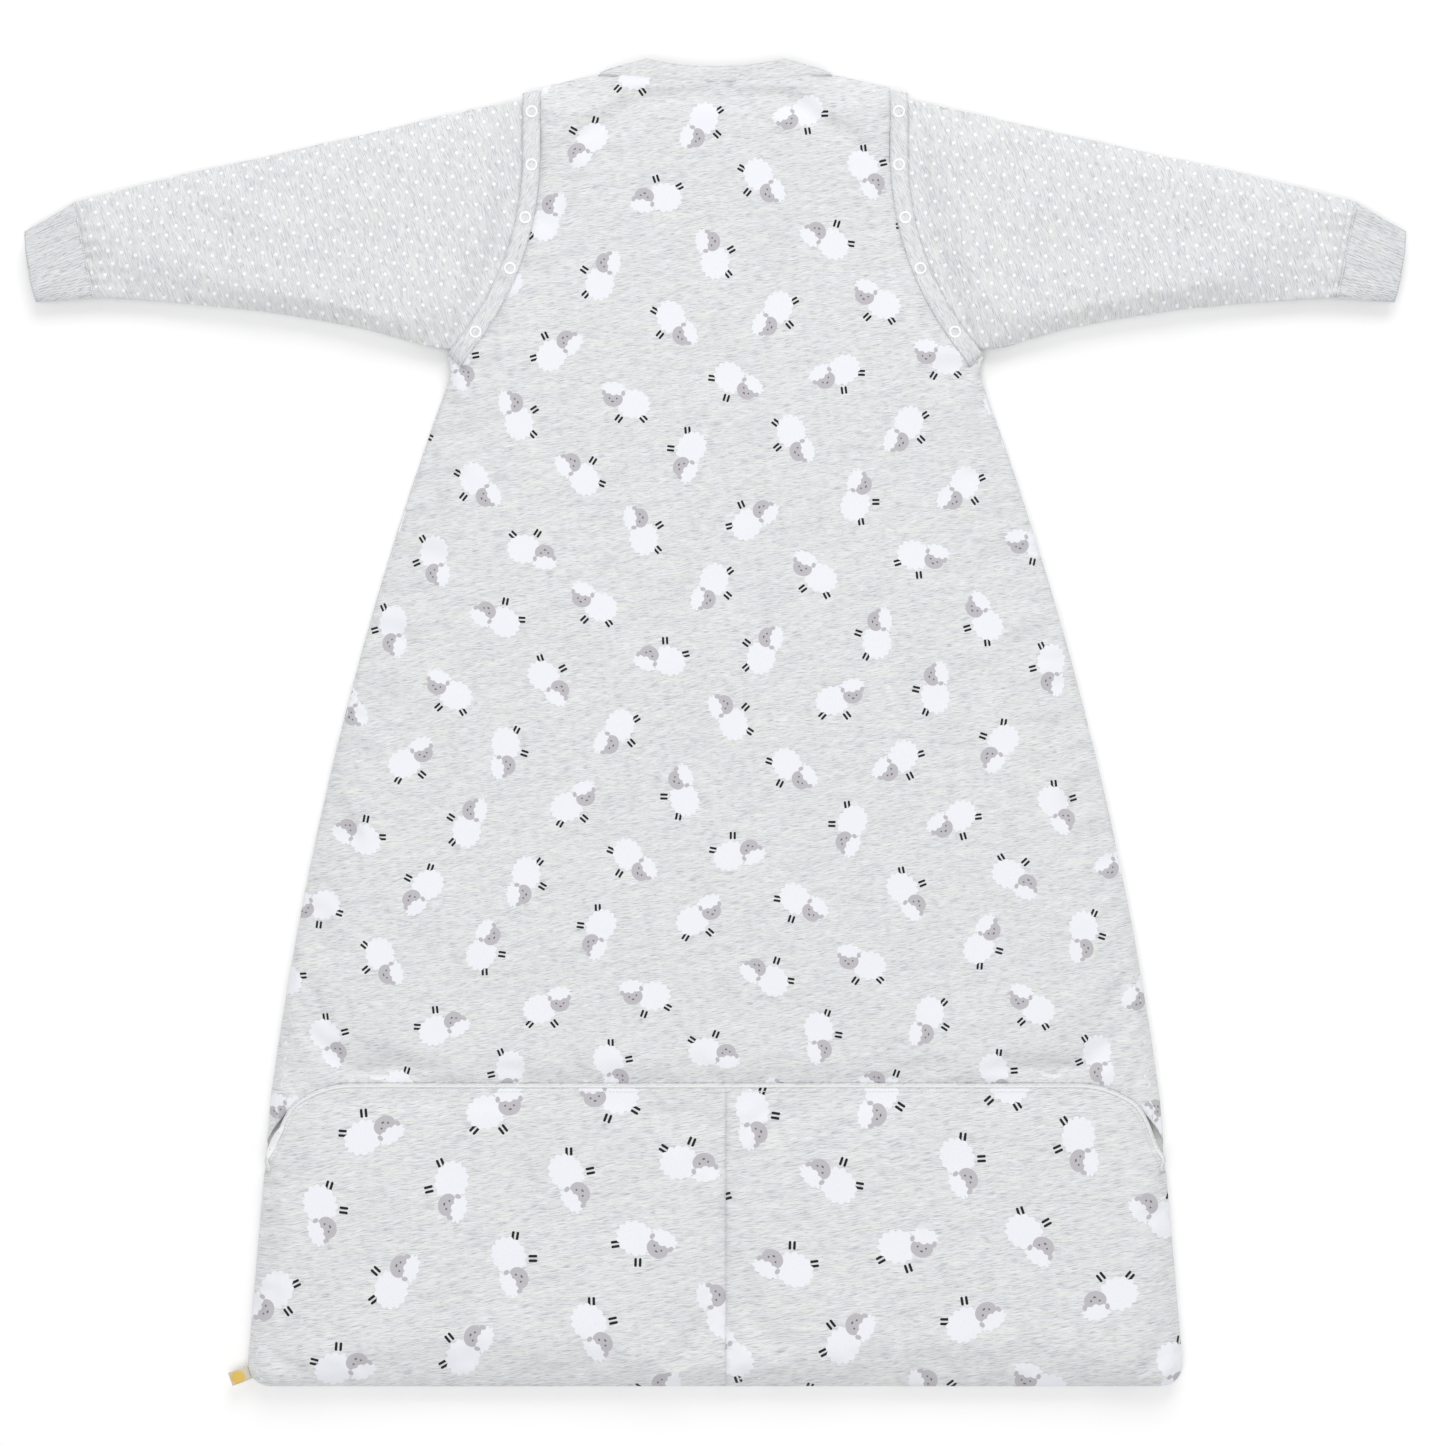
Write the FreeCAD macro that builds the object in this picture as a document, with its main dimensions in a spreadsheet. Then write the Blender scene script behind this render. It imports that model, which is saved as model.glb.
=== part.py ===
"""Baby sleeping bag with press-studded sleeves, lying flat on its front.

Frame: +X runs across the bag, +Y from the hem to the neck, +Z up from the surface that the
bag lies on.  The back of the bag faces up.  The origin is the middle of the footprint.
"""

import FreeCAD, Part
import math
import os

from FreeCAD import Placement, Rotation, Vector

doc = FreeCAD.newDocument("baby_sleeping_bag")

# ---------------------------------------------------------------- driving dimensions
SIZES = [
    ("half_length", 550, "hem to origin and collar peak to origin"),
    ("shell_thick", 1.0, "printed jersey"),
    ("wadding_thick", 6.0, "quilting wadding in each panel"),
    ("lining_thick", 0.8, "inner jersey"),
    ("cavity_gap", 12.0, "free height between the two linings"),
    ("seam_width", 3.0, "sewn seam at the side and shoulder edges"),
    ("hem_half", 388, "half width at the hem"),
    ("hip_half", 369, "half width where the foot zip starts"),
    ("hip_height", -311, "where the straight lower side starts"),
    ("waist_half", 304, "half width at waist_height"),
    ("waist_height", 20, "mid point of the curved side"),
    ("armpit_half", 219, "half width under the arm"),
    ("armpit_height", 290, "under the arm"),
    ("hem_corner", 18, "corner radius at the hem"),
    ("neck_half", 57, "half distance between the collar peaks"),
    ("collar_base_half", 97, "where the collar leaves the shoulder"),
    ("collar_base_height", 539, "height of that point"),
    ("collar_dip", 6.5, "dip of the back collar edge"),
    ("collar_width", 9, "height of the neck binding"),
    ("neck_binding_thick", 6, "neck binding"),
    ("front_neck_height", 481, "lowest point of the front neckline"),
    ("neck_curve_share", 0.72, "where the front neckline's curve is set, per unit of its width"),
    ("neck_curve_rise", 17, "height of the neckline there above its lowest point"),
    ("shoulder_slope", 0.227, "fall of the shoulder line per unit of width"),
    ("armhole_half", 152, "half distance between the armhole bindings"),
    ("armhole_straight_end", 470, "height where the armhole starts to curve"),
    ("armhole_radius", 252, "radius of the armhole curve"),
    ("armhole_sweep", 42, "angle of the armhole curve"),
    ("binding_width", 15, "armhole binding"),
    ("binding_thick", 4, "armhole binding"),
    ("sleeve_overlap", 5.5, "sleeve head past the middle of the binding"),
    ("sleeve_head_sweep", 38.8, "angle of the sleeve head"),
    ("sleeve_head_top", 520, "upper corner of the sleeve head"),
    ("sleeve_thick", 8.4, "height of the flat sleeve"),
    ("sleeve_lining_thick", 0.7, "sleeve lining"),
    ("cuff_thick", 9.0, "height of the flat cuff"),
    ("cuff_gap", 5.0, "free height inside the cuff"),
    ("cuff_wall", 2.5, "edge of the knitted cuff"),
    ("half_span", 573.5, "origin to the end of a cuff"),
    ("foot_zip_height", -304, "straight run of the foot zip"),
    ("foot_zip_radius", 75, "corner radius of the foot zip"),
    ("foot_zip_straight", 299, "half length of the straight run"),
    ("fold_height", -372, "line about which the foot flap folds back"),
    ("fold_gap", 0.2, "half the gap along that line"),
    ("flap_clear", 0.6, "side seam to the ends of the flap"),
    ("centre_seam", 8.7, "seam between the foot panel's halves, right of the middle"),
    ("front_zip_end", -220, "lower end of the front zip"),
    ("zip_depth", 2.7, "zip centre to the nearer face of the wadding"),
    ("tooth_inner", 0.75, "zip centre to the teeth"),
    ("tooth_outer", 3.0, "zip centre to the back of the teeth"),
    ("tooth_thick", 2.2, "height of a tooth row"),
    ("tape_outer", 15, "zip centre to the edge of the tape"),
    ("tape_thick", 0.6, "zip tape"),
    ("slot_half", 4.8, "zip centre to the fabric edge"),
    ("turned_edge", 1.0, "turned-in fabric sewn to the tape"),
    ("turned_edge_short", 1, "neckline to the end of that fabric"),
    ("stop_gap", 0.3, "parked front slider to the top stops"),
    ("stop_length", 3, "top stop"),
    ("stop_thick", 0.5, "top stop"),
    ("bottom_stop_length", 4, "box at the lower end of the front zip"),
    ("underlap_half", 20, "half width of the strip behind the front zip"),
    ("underlap_thick", 1, "that strip"),
    ("underlap_below", 12, "lower end of the zip to the end of that strip"),
    ("underlap_short", 4, "upper end of the zip to the end of that strip"),
    ("wadding_clear", 16, "zip centre to the wadding"),
    ("slider_half", 4.0, "half width of a zip slider"),
    ("slider_length", 11, "length of a zip slider"),
    ("slider_plate", 1.0, "plate of a zip slider"),
    ("slider_inside", 2.8, "free height between its plates"),
    ("slider_post", 0.45, "half width of the post between the plates"),
    ("slider_flange", 0.7, "turned-in edge of a slider's plates"),
    ("tape_slot", 1.2, "slot that the tape runs through"),
    ("ear_radius", 1.1, "ears that hold a zip pull"),
    ("ear_width", 0.9, "one ear"),
    ("ear_inner", 2.1, "slider centre to the inner face of an ear"),
    ("pin_place", 2.0, "slider centre to the pull's cross bar, along the slider"),
    ("pin_rise", 0.8, "slider's outer face to the middle of that bar"),
    ("pin_radius", 0.6, "cross bar of a zip pull"),
    ("pin_clear", 0.06, "running clearance of that bar"),
    ("pull_length", 26, "zip pull"),
    ("pull_half", 2.9, "half width of a zip pull"),
    ("pull_thick", 0.9, "zip pull"),
    ("pull_neck_half", 1.5, "half width of its neck"),
    ("pull_neck_length", 4.5, "neck of a zip pull"),
    ("pull_eye_radius", 1.3, "hole in its grip"),
    ("pull_eye_inset", 3.4, "end of the grip to the middle of that hole"),
    ("park_clear", 1, "parked foot slider to the flap's tape and teeth"),
    ("foot_slider_rest", -291, "parked foot slider"),
    ("front_slider_rest", 466, "parked front slider"),
    ("stud_ring_radius", 5.15, "outer radius of a press stud ring"),
    ("stud_ring_hole", 3.3, "inner radius of that ring"),
    ("stud_ring_thick", 0.8, "ring"),
    ("stud_base_radius", 4.4, "socket and stud base"),
    ("stud_socket_depth", 2.2, "socket let into the binding"),
    ("stud_socket_floor", 0.6, "floor of the socket"),
    ("stud_mouth_radius", 2.3, "mouth of the socket"),
    ("stud_post_radius", 1.9, "head of the stud"),
    ("stud_head_round", 0.4, "rounding of that head"),
    ("stud_height", 1.5, "stud above the sleeve"),
    ("stud_base_thick", 0.5, "flange of the stud"),
    ("stud_back_thick", 0.5, "ring that closes the stud inside the sleeve"),
    ("stud_back_hole", 2.0, "inner radius of that ring"),
    ("prong_radius", 0.35, "prong of a ring"),
    ("prong_count", 5, "prongs of a ring"),
    ("stud_first", 20, "shoulder to the first stud along the binding"),
    ("stud_pitch", 44, "pitch of the first four studs"),
    ("stud_last", 212, "shoulder to the last stud"),
    ("tab_length", 19, "ribbon tab, with the end sewn into the seam"),
    ("tab_buried", 2.0, "part of that length inside the hem's corner"),
    ("tab_lean", 21, "lean of the ribbon tab"),
    ("tab_width", 11, "ribbon tab"),
    ("tab_thick", 1.6, "folded ribbon"),
]

sheet = doc.addObject("Spreadsheet::Sheet", "Sizes")
for row, (alias, value, note) in enumerate(SIZES, 1):
    sheet.set(f"A{row}", note)
    sheet.set(f"B{row}", str(value))
    sheet.setAlias(f"B{row}", alias)
doc.recompute()


def size(alias):
    """The number in the sheet's cell of that name."""
    return float(sheet.get(alias))


# ---------------------------------------------------------------- levels, bottom to top
PANEL = "Sizes.shell_thick + Sizes.wadding_thick + Sizes.lining_thick"
LEVEL = {
    "front_shell": "0",
    "front_wadding": "Sizes.shell_thick",
    "front_lining": "Sizes.shell_thick + Sizes.wadding_thick",
    "cavity": PANEL,
    "back_lining": f"{PANEL} + Sizes.cavity_gap",
    "back_wadding": f"{PANEL} + Sizes.cavity_gap + Sizes.lining_thick",
    "back_shell": f"{PANEL} + Sizes.cavity_gap + Sizes.lining_thick + Sizes.wadding_thick",
}
LEVEL["top"] = f"{LEVEL['back_shell']} + Sizes.shell_thick"
LEVEL["middle"] = f"({LEVEL['top']}) / 2"
LEVEL["front_zip"] = f"{LEVEL['front_lining']} - Sizes.zip_depth"
LEVEL["foot_zip"] = f"{LEVEL['back_wadding']} + Sizes.zip_depth"


def level_of(name):
    """A level's height in millimetres."""
    return float(sheet.evalExpression(LEVEL[name]))


# ---------------------------------------------------------------- building helpers
def corner_path(start, *steps, side=1):
    """A closed outline: two numbers are a line's end, four an arc's middle and end."""
    here = Vector(side * start[0], start[1], 0)
    first = here
    edges = []
    for step in steps:
        points = [Vector(side * step[i], step[i + 1], 0) for i in range(0, len(step), 2)]
        if len(points) == 1:
            edges.append(Part.LineSegment(here, points[0]))
        else:
            edges.append(Part.Arc(here, points[0], points[1]))
        here = points[-1]
    if (here - first).Length > 1e-6:
        edges.append(Part.LineSegment(here, first))
    return edges


def base_plane(body, role):
    """One of the body's own origin planes."""
    return next(plane for plane in body.Origin.OriginFeatures if plane.Role == role)


def add_sketch(body, name, edges, level, role="XY_Plane"):
    """A sketch on a plane of the body, raised to a level."""
    sketch = body.newObject("Sketcher::SketchObject", name)
    sketch.AttachmentSupport = (base_plane(body, role), [""])
    sketch.MapMode = "FlatFace"
    sketch.setExpression("AttachmentOffset.Base.z", level)
    sketch.addGeometry(edges, False)
    return sketch


def add_pad(body, name, edges, level, height, role="XY_Plane"):
    """A pad of a sketch, its height bound to the sheet."""
    pad = body.newObject("PartDesign::Pad", f"{name}_pad")
    pad.Profile = add_sketch(body, f"{name}_outline", edges, level, role)
    pad.setExpression("Length", height)
    return pad


def new_body(label):
    """A body whose label names its piece."""
    body = doc.addObject("PartDesign::Body", label)
    body.Label = label
    return body


def flat_piece(label, edges, level, height):
    """A flat piece of one thickness."""
    body = new_body(label)
    add_pad(body, label, edges, level, height)
    return body


pieces = []


def keep(piece):
    """Lists a piece for writing."""
    pieces.append(piece)
    return piece


def group(label, members):
    """Separate solids that share one node."""
    compound = doc.addObject("Part::Compound", label)
    compound.Label = label
    compound.Links = members
    return keep(compound)


# ---------------------------------------------------------------- outline of the bag
ARM_CENTRE = Vector(size("armhole_half") + size("armhole_radius"), size("armhole_straight_end"), 0)


def armhole_point(offset, angle):
    """A point beside the armhole curve; a positive offset is towards the body."""
    radius = size("armhole_radius") + offset
    turn = math.radians(angle)
    return (ARM_CENTRE.x - radius * math.cos(turn), ARM_CENTRE.y - radius * math.sin(turn))


def shoulder_height(across, drop=0):
    """Height of the shoulder line, or of a line below it."""
    fall = size("shoulder_slope") * (across - size("collar_base_half"))
    return size("collar_base_height") - fall - drop


def lower_side(height, inset):
    """Half width of the straight lower side."""
    spread = (size("hem_half") - size("hip_half")) / (size("hip_height") - hem_corner_height())
    return size("hip_half") - inset + (size("hip_height") - height) * spread


def hem_corner_height():
    """Height of the centres of the hem's corners."""
    return size("hem_corner") - size("half_length")


def side_steps(inset):
    """The side from the armpit down to the start of the straight part."""
    return [
        (size("armpit_half") - inset, size("armpit_height")),
        (size("waist_half") - inset, size("waist_height"), size("hip_half") - inset, size("hip_height")),
    ]


def armhole_steps(inset):
    """Down the inner edge of the armhole binding and round its end to the armpit."""
    half_binding = size("binding_width") / 2
    sweep = size("armhole_sweep")
    inner = size("armhole_half") - half_binding
    steps = [
        (inner, shoulder_height(inner, inset)),
        (inner, size("armhole_straight_end")),
        armhole_point(half_binding, sweep / 2) + armhole_point(half_binding, sweep),
    ]
    if inset == 0:
        steps.append(armhole_point(-half_binding, sweep))
    return steps


def hem_corner_steps(inset):
    """Down the straight side and round the corner at the hem."""
    radius = size("hem_corner") - inset
    low = hem_corner_height()
    centre = size("hem_half") - size("hem_corner")
    slant = radius * math.sqrt(0.5)
    return [
        (centre + radius, low),
        (centre + slant, low - slant, centre, low - radius),
    ]


def zip_arc(offset, angle):
    """A point beside the foot zip's corner; a positive offset is towards the neck."""
    radius = size("foot_zip_radius") + offset
    turn = math.radians(angle)
    centre_height = size("foot_zip_height") - size("foot_zip_radius")
    return (
        size("foot_zip_straight") + radius * math.cos(turn),
        centre_height + radius * math.sin(turn),
    )


def zip_arc_end(offset, inset):
    """Angle at which an arc beside the foot zip meets the side, or the fold of the flap."""
    fold = size("fold_height") + size("fold_gap")
    low, high = 0.0, 90.0
    halvings = 40
    for _ in range(halvings):
        angle = (low + high) / 2
        across, height = zip_arc(offset, angle)
        if across > lower_side(height, inset) or (offset < 0 and height < fold):
            low = angle
        else:
            high = angle
    return high


def zip_edge_steps(offset, inset):
    """From the side along one line beside the foot zip, over both corners."""
    end = zip_arc_end(offset, inset)
    middle = (end + 90) / 2
    right = [zip_arc(offset, middle) + zip_arc(offset, 90)]
    left_start = zip_arc(offset, 90)
    left_middle = zip_arc(offset, middle)
    left_end = zip_arc(offset, end)
    left = [
        (-left_start[0], left_start[1]),
        (-left_middle[0], left_middle[1], -left_end[0], left_end[1]),
    ]
    return zip_arc(offset, end), right + left


def back_outline(inset, zip_offset):
    """The back panel from the collar to the foot zip."""
    base = size("collar_base_half")
    top = shoulder_height(base, inset)
    zip_start, zip_steps = zip_edge_steps(zip_offset, inset)
    right = [*armhole_steps(inset), *side_steps(inset), zip_start]
    left = mirrored_return(right, (base, top))
    collar = (0, size("collar_base_height") - size("collar_dip"), base, top)
    return corner_path((base, top), *right, *zip_steps, *left, collar)


def mirrored_return(steps, last):
    """The same steps on the other side, taken backwards and ending at the point last."""
    points = [last]
    middles = []
    for step in steps:
        middles.append(step[:2] if len(step) == 4 else None)
        points.append(step[-2:])
    back = []
    for point, middle in zip(reversed(points[:-1]), reversed(middles)):
        end = (-point[0], point[1])
        back.append((-middle[0], middle[1]) + end if middle else end)
    return back


def front_outline(side, inset, zip_clear, neck_clear=0):
    """One half of the front panel, from the neckline to the hem."""
    neck_width = size("neck_half") + size("collar_width") + neck_clear
    neck_low = size("front_neck_height") - size("collar_width") - neck_clear
    curve = (neck_width * size("neck_curve_share"), neck_low + size("neck_curve_rise"))
    bottom = inset - size("half_length")
    zip_end = size("front_zip_end") - (zip_clear - size("slot_half"))
    return corner_path(
        (zip_clear, neck_low),
        (*curve, neck_width, shoulder_height(neck_width, inset)),
        *armhole_steps(inset),
        *side_steps(inset),
        *hem_corner_steps(inset),
        (0, bottom),
        (0, zip_end),
        (zip_clear, zip_end),
        side=side,
    )


def foot_outline(side, inset):
    """One half of the part of the foot panel that stays put."""
    fold = size("fold_height") - size("fold_gap")
    seam = side * size("centre_seam")
    return corner_path(
        (seam, inset - size("half_length")),
        (seam, fold),
        (lower_side(fold, inset), fold),
        *hem_corner_steps(inset),
        side=side,
    )


def flap_outline(side, zip_offset):
    """One half of the foot flap, from its fold to the foot zip."""
    fold = size("fold_height") + size("fold_gap")
    seam = side * size("centre_seam")
    end = zip_arc_end(zip_offset, size("seam_width") + size("flap_clear"))
    top = zip_arc(zip_offset, 90)
    return corner_path(
        (seam, fold),
        (zip_arc(zip_offset, end)[0], fold),
        zip_arc(zip_offset, end),
        zip_arc(zip_offset, (end + 90) / 2) + top,
        (seam, top[1]),
        side=side,
    )


# ---------------------------------------------------------------- panels
SIDES = (("left", -1), ("right", 1))
SEAM = size("seam_width")
SLOT = size("slot_half")


def front_turned_edge(side):
    """The fabric edge that is turned in along the front zip."""
    low = size("front_zip_end")
    high = size("front_neck_height") - size("collar_width") - size("turned_edge_short")
    inner = SLOT
    outer = SLOT + size("turned_edge")
    return corner_path((inner, low), (inner, high), (outer, high), (outer, low), side=side)


def foot_strip(offset_in, offset_out, inset):
    """A strip that follows the foot zip between two lines beside it."""
    first, inner = zip_edge_steps(offset_in, inset)
    last, outer = zip_edge_steps(offset_out, inset)
    middle = outer[0][:2]
    top = zip_arc(offset_out, 90)
    return corner_path(
        first,
        *inner,
        (-last[0], last[1]),
        (-middle[0], middle[1], -top[0], top[1]),
        top,
        middle + last,
    )


def make_back_panel():
    """Shell, wadding and lining of the back."""
    shell = keep(flat_piece("back_shell", back_outline(0, SLOT), LEVEL["back_shell"], "Sizes.shell_thick"))
    tape_top = f"{LEVEL['foot_zip']} + Sizes.tape_thick / 2"
    tape_low = f"{LEVEL['foot_zip']} - Sizes.tape_thick / 2"
    edge = foot_strip(SLOT, SLOT + size("turned_edge"), SEAM)
    add_pad(shell, "back_shell_edge", edge, tape_top, f"{LEVEL['back_shell']} - ({tape_top})")
    wadding = back_outline(SEAM, size("wadding_clear"))
    keep(flat_piece("back_wadding", wadding, LEVEL["back_wadding"], "Sizes.wadding_thick"))
    lining = keep(
        flat_piece("back_lining", back_outline(SEAM, SLOT), LEVEL["back_lining"], "Sizes.lining_thick")
    )
    add_pad(
        lining, "back_lining_edge", edge, LEVEL["back_wadding"], f"{tape_low} - ({LEVEL['back_wadding']})"
    )


def make_front_panels():
    """Shell, wadding and lining of each front half."""
    tape_top = f"{LEVEL['front_zip']} + Sizes.tape_thick / 2"
    tape_low = f"{LEVEL['front_zip']} - Sizes.tape_thick / 2"
    for word, side in SIDES:
        outline = front_outline(side, 0, SLOT)
        shell = keep(
            flat_piece(f"front_shell_{word}", outline, LEVEL["front_shell"], "Sizes.shell_thick")
        )
        edge = front_turned_edge(side)
        height = f"{tape_low} - ({LEVEL['front_wadding']})"
        add_pad(shell, f"front_shell_{word}_edge", edge, LEVEL["front_wadding"], height)
        wadding = front_outline(side, SEAM, size("wadding_clear"), SEAM)
        keep(
            flat_piece(f"front_wadding_{word}", wadding, LEVEL["front_wadding"], "Sizes.wadding_thick")
        )
        lining = keep(
            flat_piece(
                f"front_lining_{word}",
                front_outline(side, SEAM, SLOT),
                LEVEL["front_lining"],
                "Sizes.lining_thick",
            )
        )
        height = f"{LEVEL['front_lining']} - ({tape_top})"
        add_pad(lining, f"front_lining_{word}_edge", edge, tape_top, height)


def make_foot_panel():
    """The part of the foot panel that stays put, and the fold at the hem."""
    for word, side in SIDES:
        outline = foot_outline(side, 0)
        keep(flat_piece(f"foot_shell_{word}", outline, LEVEL["back_shell"], "Sizes.shell_thick"))
    wadding = [
        flat_piece(
            f"foot_wadding_{word}", foot_outline(side, SEAM), LEVEL["back_wadding"], "Sizes.wadding_thick"
        )
        for word, side in SIDES
    ]
    group("foot_wadding", wadding)
    lining = [
        flat_piece(
            f"foot_lining_{word}", foot_outline(side, SEAM), LEVEL["back_lining"], "Sizes.lining_thick"
        )
        for word, side in SIDES
    ]
    group("foot_lining", lining)
    reach = size("hem_half") - size("hem_corner")
    bottom = -size("half_length")
    fold = corner_path((-reach, bottom), (reach, bottom), (reach, bottom + SEAM), (-reach, bottom + SEAM))
    keep(
        flat_piece(
            "hem_fold", fold, "Sizes.shell_thick", f"{LEVEL['back_shell']} - Sizes.shell_thick"
        )
    )


def make_seams():
    """The sewn edges that join the back to the front."""
    half_binding = size("binding_width") / 2
    outer = size("armhole_half") + half_binding
    base = size("collar_base_half")
    reach = size("hem_half") - size("hem_corner")
    between = f"{LEVEL['back_shell']} - Sizes.shell_thick"
    for word, side in SIDES:
        inner_steps = [*side_steps(SEAM), *hem_corner_steps(SEAM)]
        outline = corner_path(
            armhole_point(-half_binding, size("armhole_sweep")),
            *side_steps(0),
            *hem_corner_steps(0),
            (reach, SEAM - size("half_length")),
            hem_corner_return(),
            (size("hip_half") - SEAM, size("hip_height")),
            (
                size("waist_half") - SEAM,
                size("waist_height"),
                size("armpit_half") - SEAM,
                size("armpit_height"),
            ),
            armhole_point(half_binding, size("armhole_sweep")),
            side=side,
        )
        keep(flat_piece(f"side_seam_{word}", outline, "Sizes.shell_thick", between))
        shoulder = corner_path(
            (base, shoulder_height(base)),
            (outer, shoulder_height(outer)),
            (outer, shoulder_height(outer, SEAM)),
            (base, shoulder_height(base, SEAM)),
            side=side,
        )
        keep(flat_piece(f"shoulder_seam_{word}", shoulder, "Sizes.shell_thick", between))


def hem_corner_return():
    """The inner arc of the hem corner, from the hem up to the side."""
    radius = size("hem_corner") - SEAM
    centre = size("hem_half") - size("hem_corner")
    slant = radius * math.sqrt(0.5)
    return (centre + slant, hem_corner_height() - slant, centre + radius, hem_corner_height())


# ---------------------------------------------------------------- bindings
def binding_outline(side):
    """The armhole binding, from the shoulder seam to the end of the side seam."""
    half = size("binding_width") / 2
    sweep = size("armhole_sweep")
    inner = size("armhole_half") - half
    outer = size("armhole_half") + half
    return corner_path(
        (inner, shoulder_height(inner, SEAM)),
        (inner, size("armhole_straight_end")),
        armhole_point(half, sweep / 2) + armhole_point(half, sweep),
        armhole_point(-half, sweep),
        armhole_point(-half, sweep / 2) + (outer, size("armhole_straight_end")),
        (outer, shoulder_height(outer, SEAM)),
        side=side,
    )


def binding_piece(label, side, level, socket_level):
    """One face of an armhole binding, with a seat for each press stud socket."""
    body = flat_piece(label, binding_outline(side), level, "Sizes.binding_thick")
    radius = size("stud_base_radius")
    seats = [Part.Circle(place, Vector(0, 0, 1), radius) for place in stud_places(side)]
    pocket = body.newObject("PartDesign::Pocket", f"{label}_seats")
    pocket.Profile = add_sketch(body, f"{label}_circles", seats, socket_level)
    pocket.setExpression("Length", "Sizes.stud_socket_depth")
    pocket.Reversed = True
    return body


def make_bindings():
    """Armhole and neck bindings."""
    depth = "Sizes.stud_socket_depth"
    for word, side in SIDES:
        back = binding_piece(f"back_binding_{word}", side, LEVEL["back_lining"], LEVEL["back_lining"])
        front_level = f"{LEVEL['cavity']} - Sizes.binding_thick"
        front_seats = f"{LEVEL['cavity']} - {depth}"
        front = binding_piece(f"front_binding_{word}", side, front_level, front_seats)
        group(f"armhole_binding_{word}", [back, front])
    base = size("collar_base_half")
    peak = size("neck_half")
    height = size("collar_base_height")
    top = size("half_length")
    dip = size("collar_dip")
    collar = corner_path(
        (base, height),
        (peak, top),
        (0, top - dip, -peak, top),
        (-base, height),
        (0, height - dip, base, height),
    )
    thick = "Sizes.neck_binding_thick"
    keep(flat_piece("neck_binding_back", collar, LEVEL["back_lining"], thick))
    for word, side in SIDES:
        keep(flat_piece(f"neck_binding_front_{word}", front_collar(side), "Sizes.shell_thick", thick))


def front_collar(side):
    """One half of the binding round the front neckline."""
    peak = size("neck_half")
    width = size("collar_width")
    low = size("front_neck_height")
    outer = peak + width
    share = size("neck_curve_share")
    rise = size("neck_curve_rise")
    return corner_path(
        (SLOT, low - width),
        (outer * share, low - width + rise, outer, shoulder_height(outer)),
        (peak, shoulder_height(peak)),
        (peak * share, low + rise, SLOT, low),
        side=side,
    )


# ---------------------------------------------------------------- zips
def row_level(centre, thick):
    """Lower face of something centred on a zip."""
    return f"{centre} - {thick} / 2"


def make_front_zip():
    """Tapes, teeth, stops and the strip behind the front zip."""
    low = size("front_zip_end")
    high = size("front_neck_height") - size("collar_width")
    centre = LEVEL["front_zip"]
    inner, outer, tape = size("tooth_inner"), size("tooth_outer"), size("tape_outer")
    stop_low = size("front_slider_rest") + size("slider_length") / 2 + size("stop_gap")
    stop_high = stop_low + size("stop_length")
    stops = []
    for word, side in SIDES:
        teeth = corner_path((inner, low), (outer, low), (outer, high), (inner, high), side=side)
        keep(
            flat_piece(
                f"front_zip_teeth_{word}", teeth, row_level(centre, "Sizes.tooth_thick"), "Sizes.tooth_thick"
            )
        )
        strip = corner_path((outer, low), (tape, low), (tape, high), (outer, high), side=side)
        keep(
            flat_piece(
                f"front_zip_tape_{word}", strip, row_level(centre, "Sizes.tape_thick"), "Sizes.tape_thick"
            )
        )
        stop = corner_path(
            (inner, stop_low), (outer, stop_low), (outer, stop_high), (inner, stop_high), side=side
        )
        stops.append(stop)
    make_front_stops(stops, centre, low, outer)
    half = size("underlap_half")
    low -= size("underlap_below")
    high -= size("underlap_short")
    guard = corner_path((-half, low), (half, low), (half, high), (-half, high))
    keep(flat_piece("front_zip_underlap", guard, LEVEL["cavity"], "Sizes.underlap_thick"))


def make_front_stops(stops, centre, low, outer):
    """Top stops over the teeth, and the box at the lower end of the zip."""
    over = f"{centre} + Sizes.tooth_thick / 2"
    blocks = [
        flat_piece(f"front_top_stop_{word}", stop, over, "Sizes.stop_thick")
        for (word, _), stop in zip(SIDES, stops)
    ]
    end = low - size("bottom_stop_length")
    box = corner_path((-outer, end), (outer, end), (outer, low), (-outer, low))
    blocks.append(
        flat_piece("front_bottom_stop", box, row_level(centre, "Sizes.tooth_thick"), "Sizes.tooth_thick")
    )
    group("front_zip_stops", blocks)


def make_foot_zip():
    """Tape and teeth on the back panel's side of the foot zip."""
    centre = LEVEL["foot_zip"]
    inner, outer, tape = size("tooth_inner"), size("tooth_outer"), size("tape_outer")
    teeth = foot_strip(inner, outer, SEAM)
    keep(
        flat_piece(
            "foot_zip_teeth_upper", teeth, row_level(centre, "Sizes.tooth_thick"), "Sizes.tooth_thick"
        )
    )
    strip = foot_strip(outer, tape, SEAM)
    keep(
        flat_piece(
            "foot_zip_tape_upper", strip, row_level(centre, "Sizes.tape_thick"), "Sizes.tape_thick"
        )
    )


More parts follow.
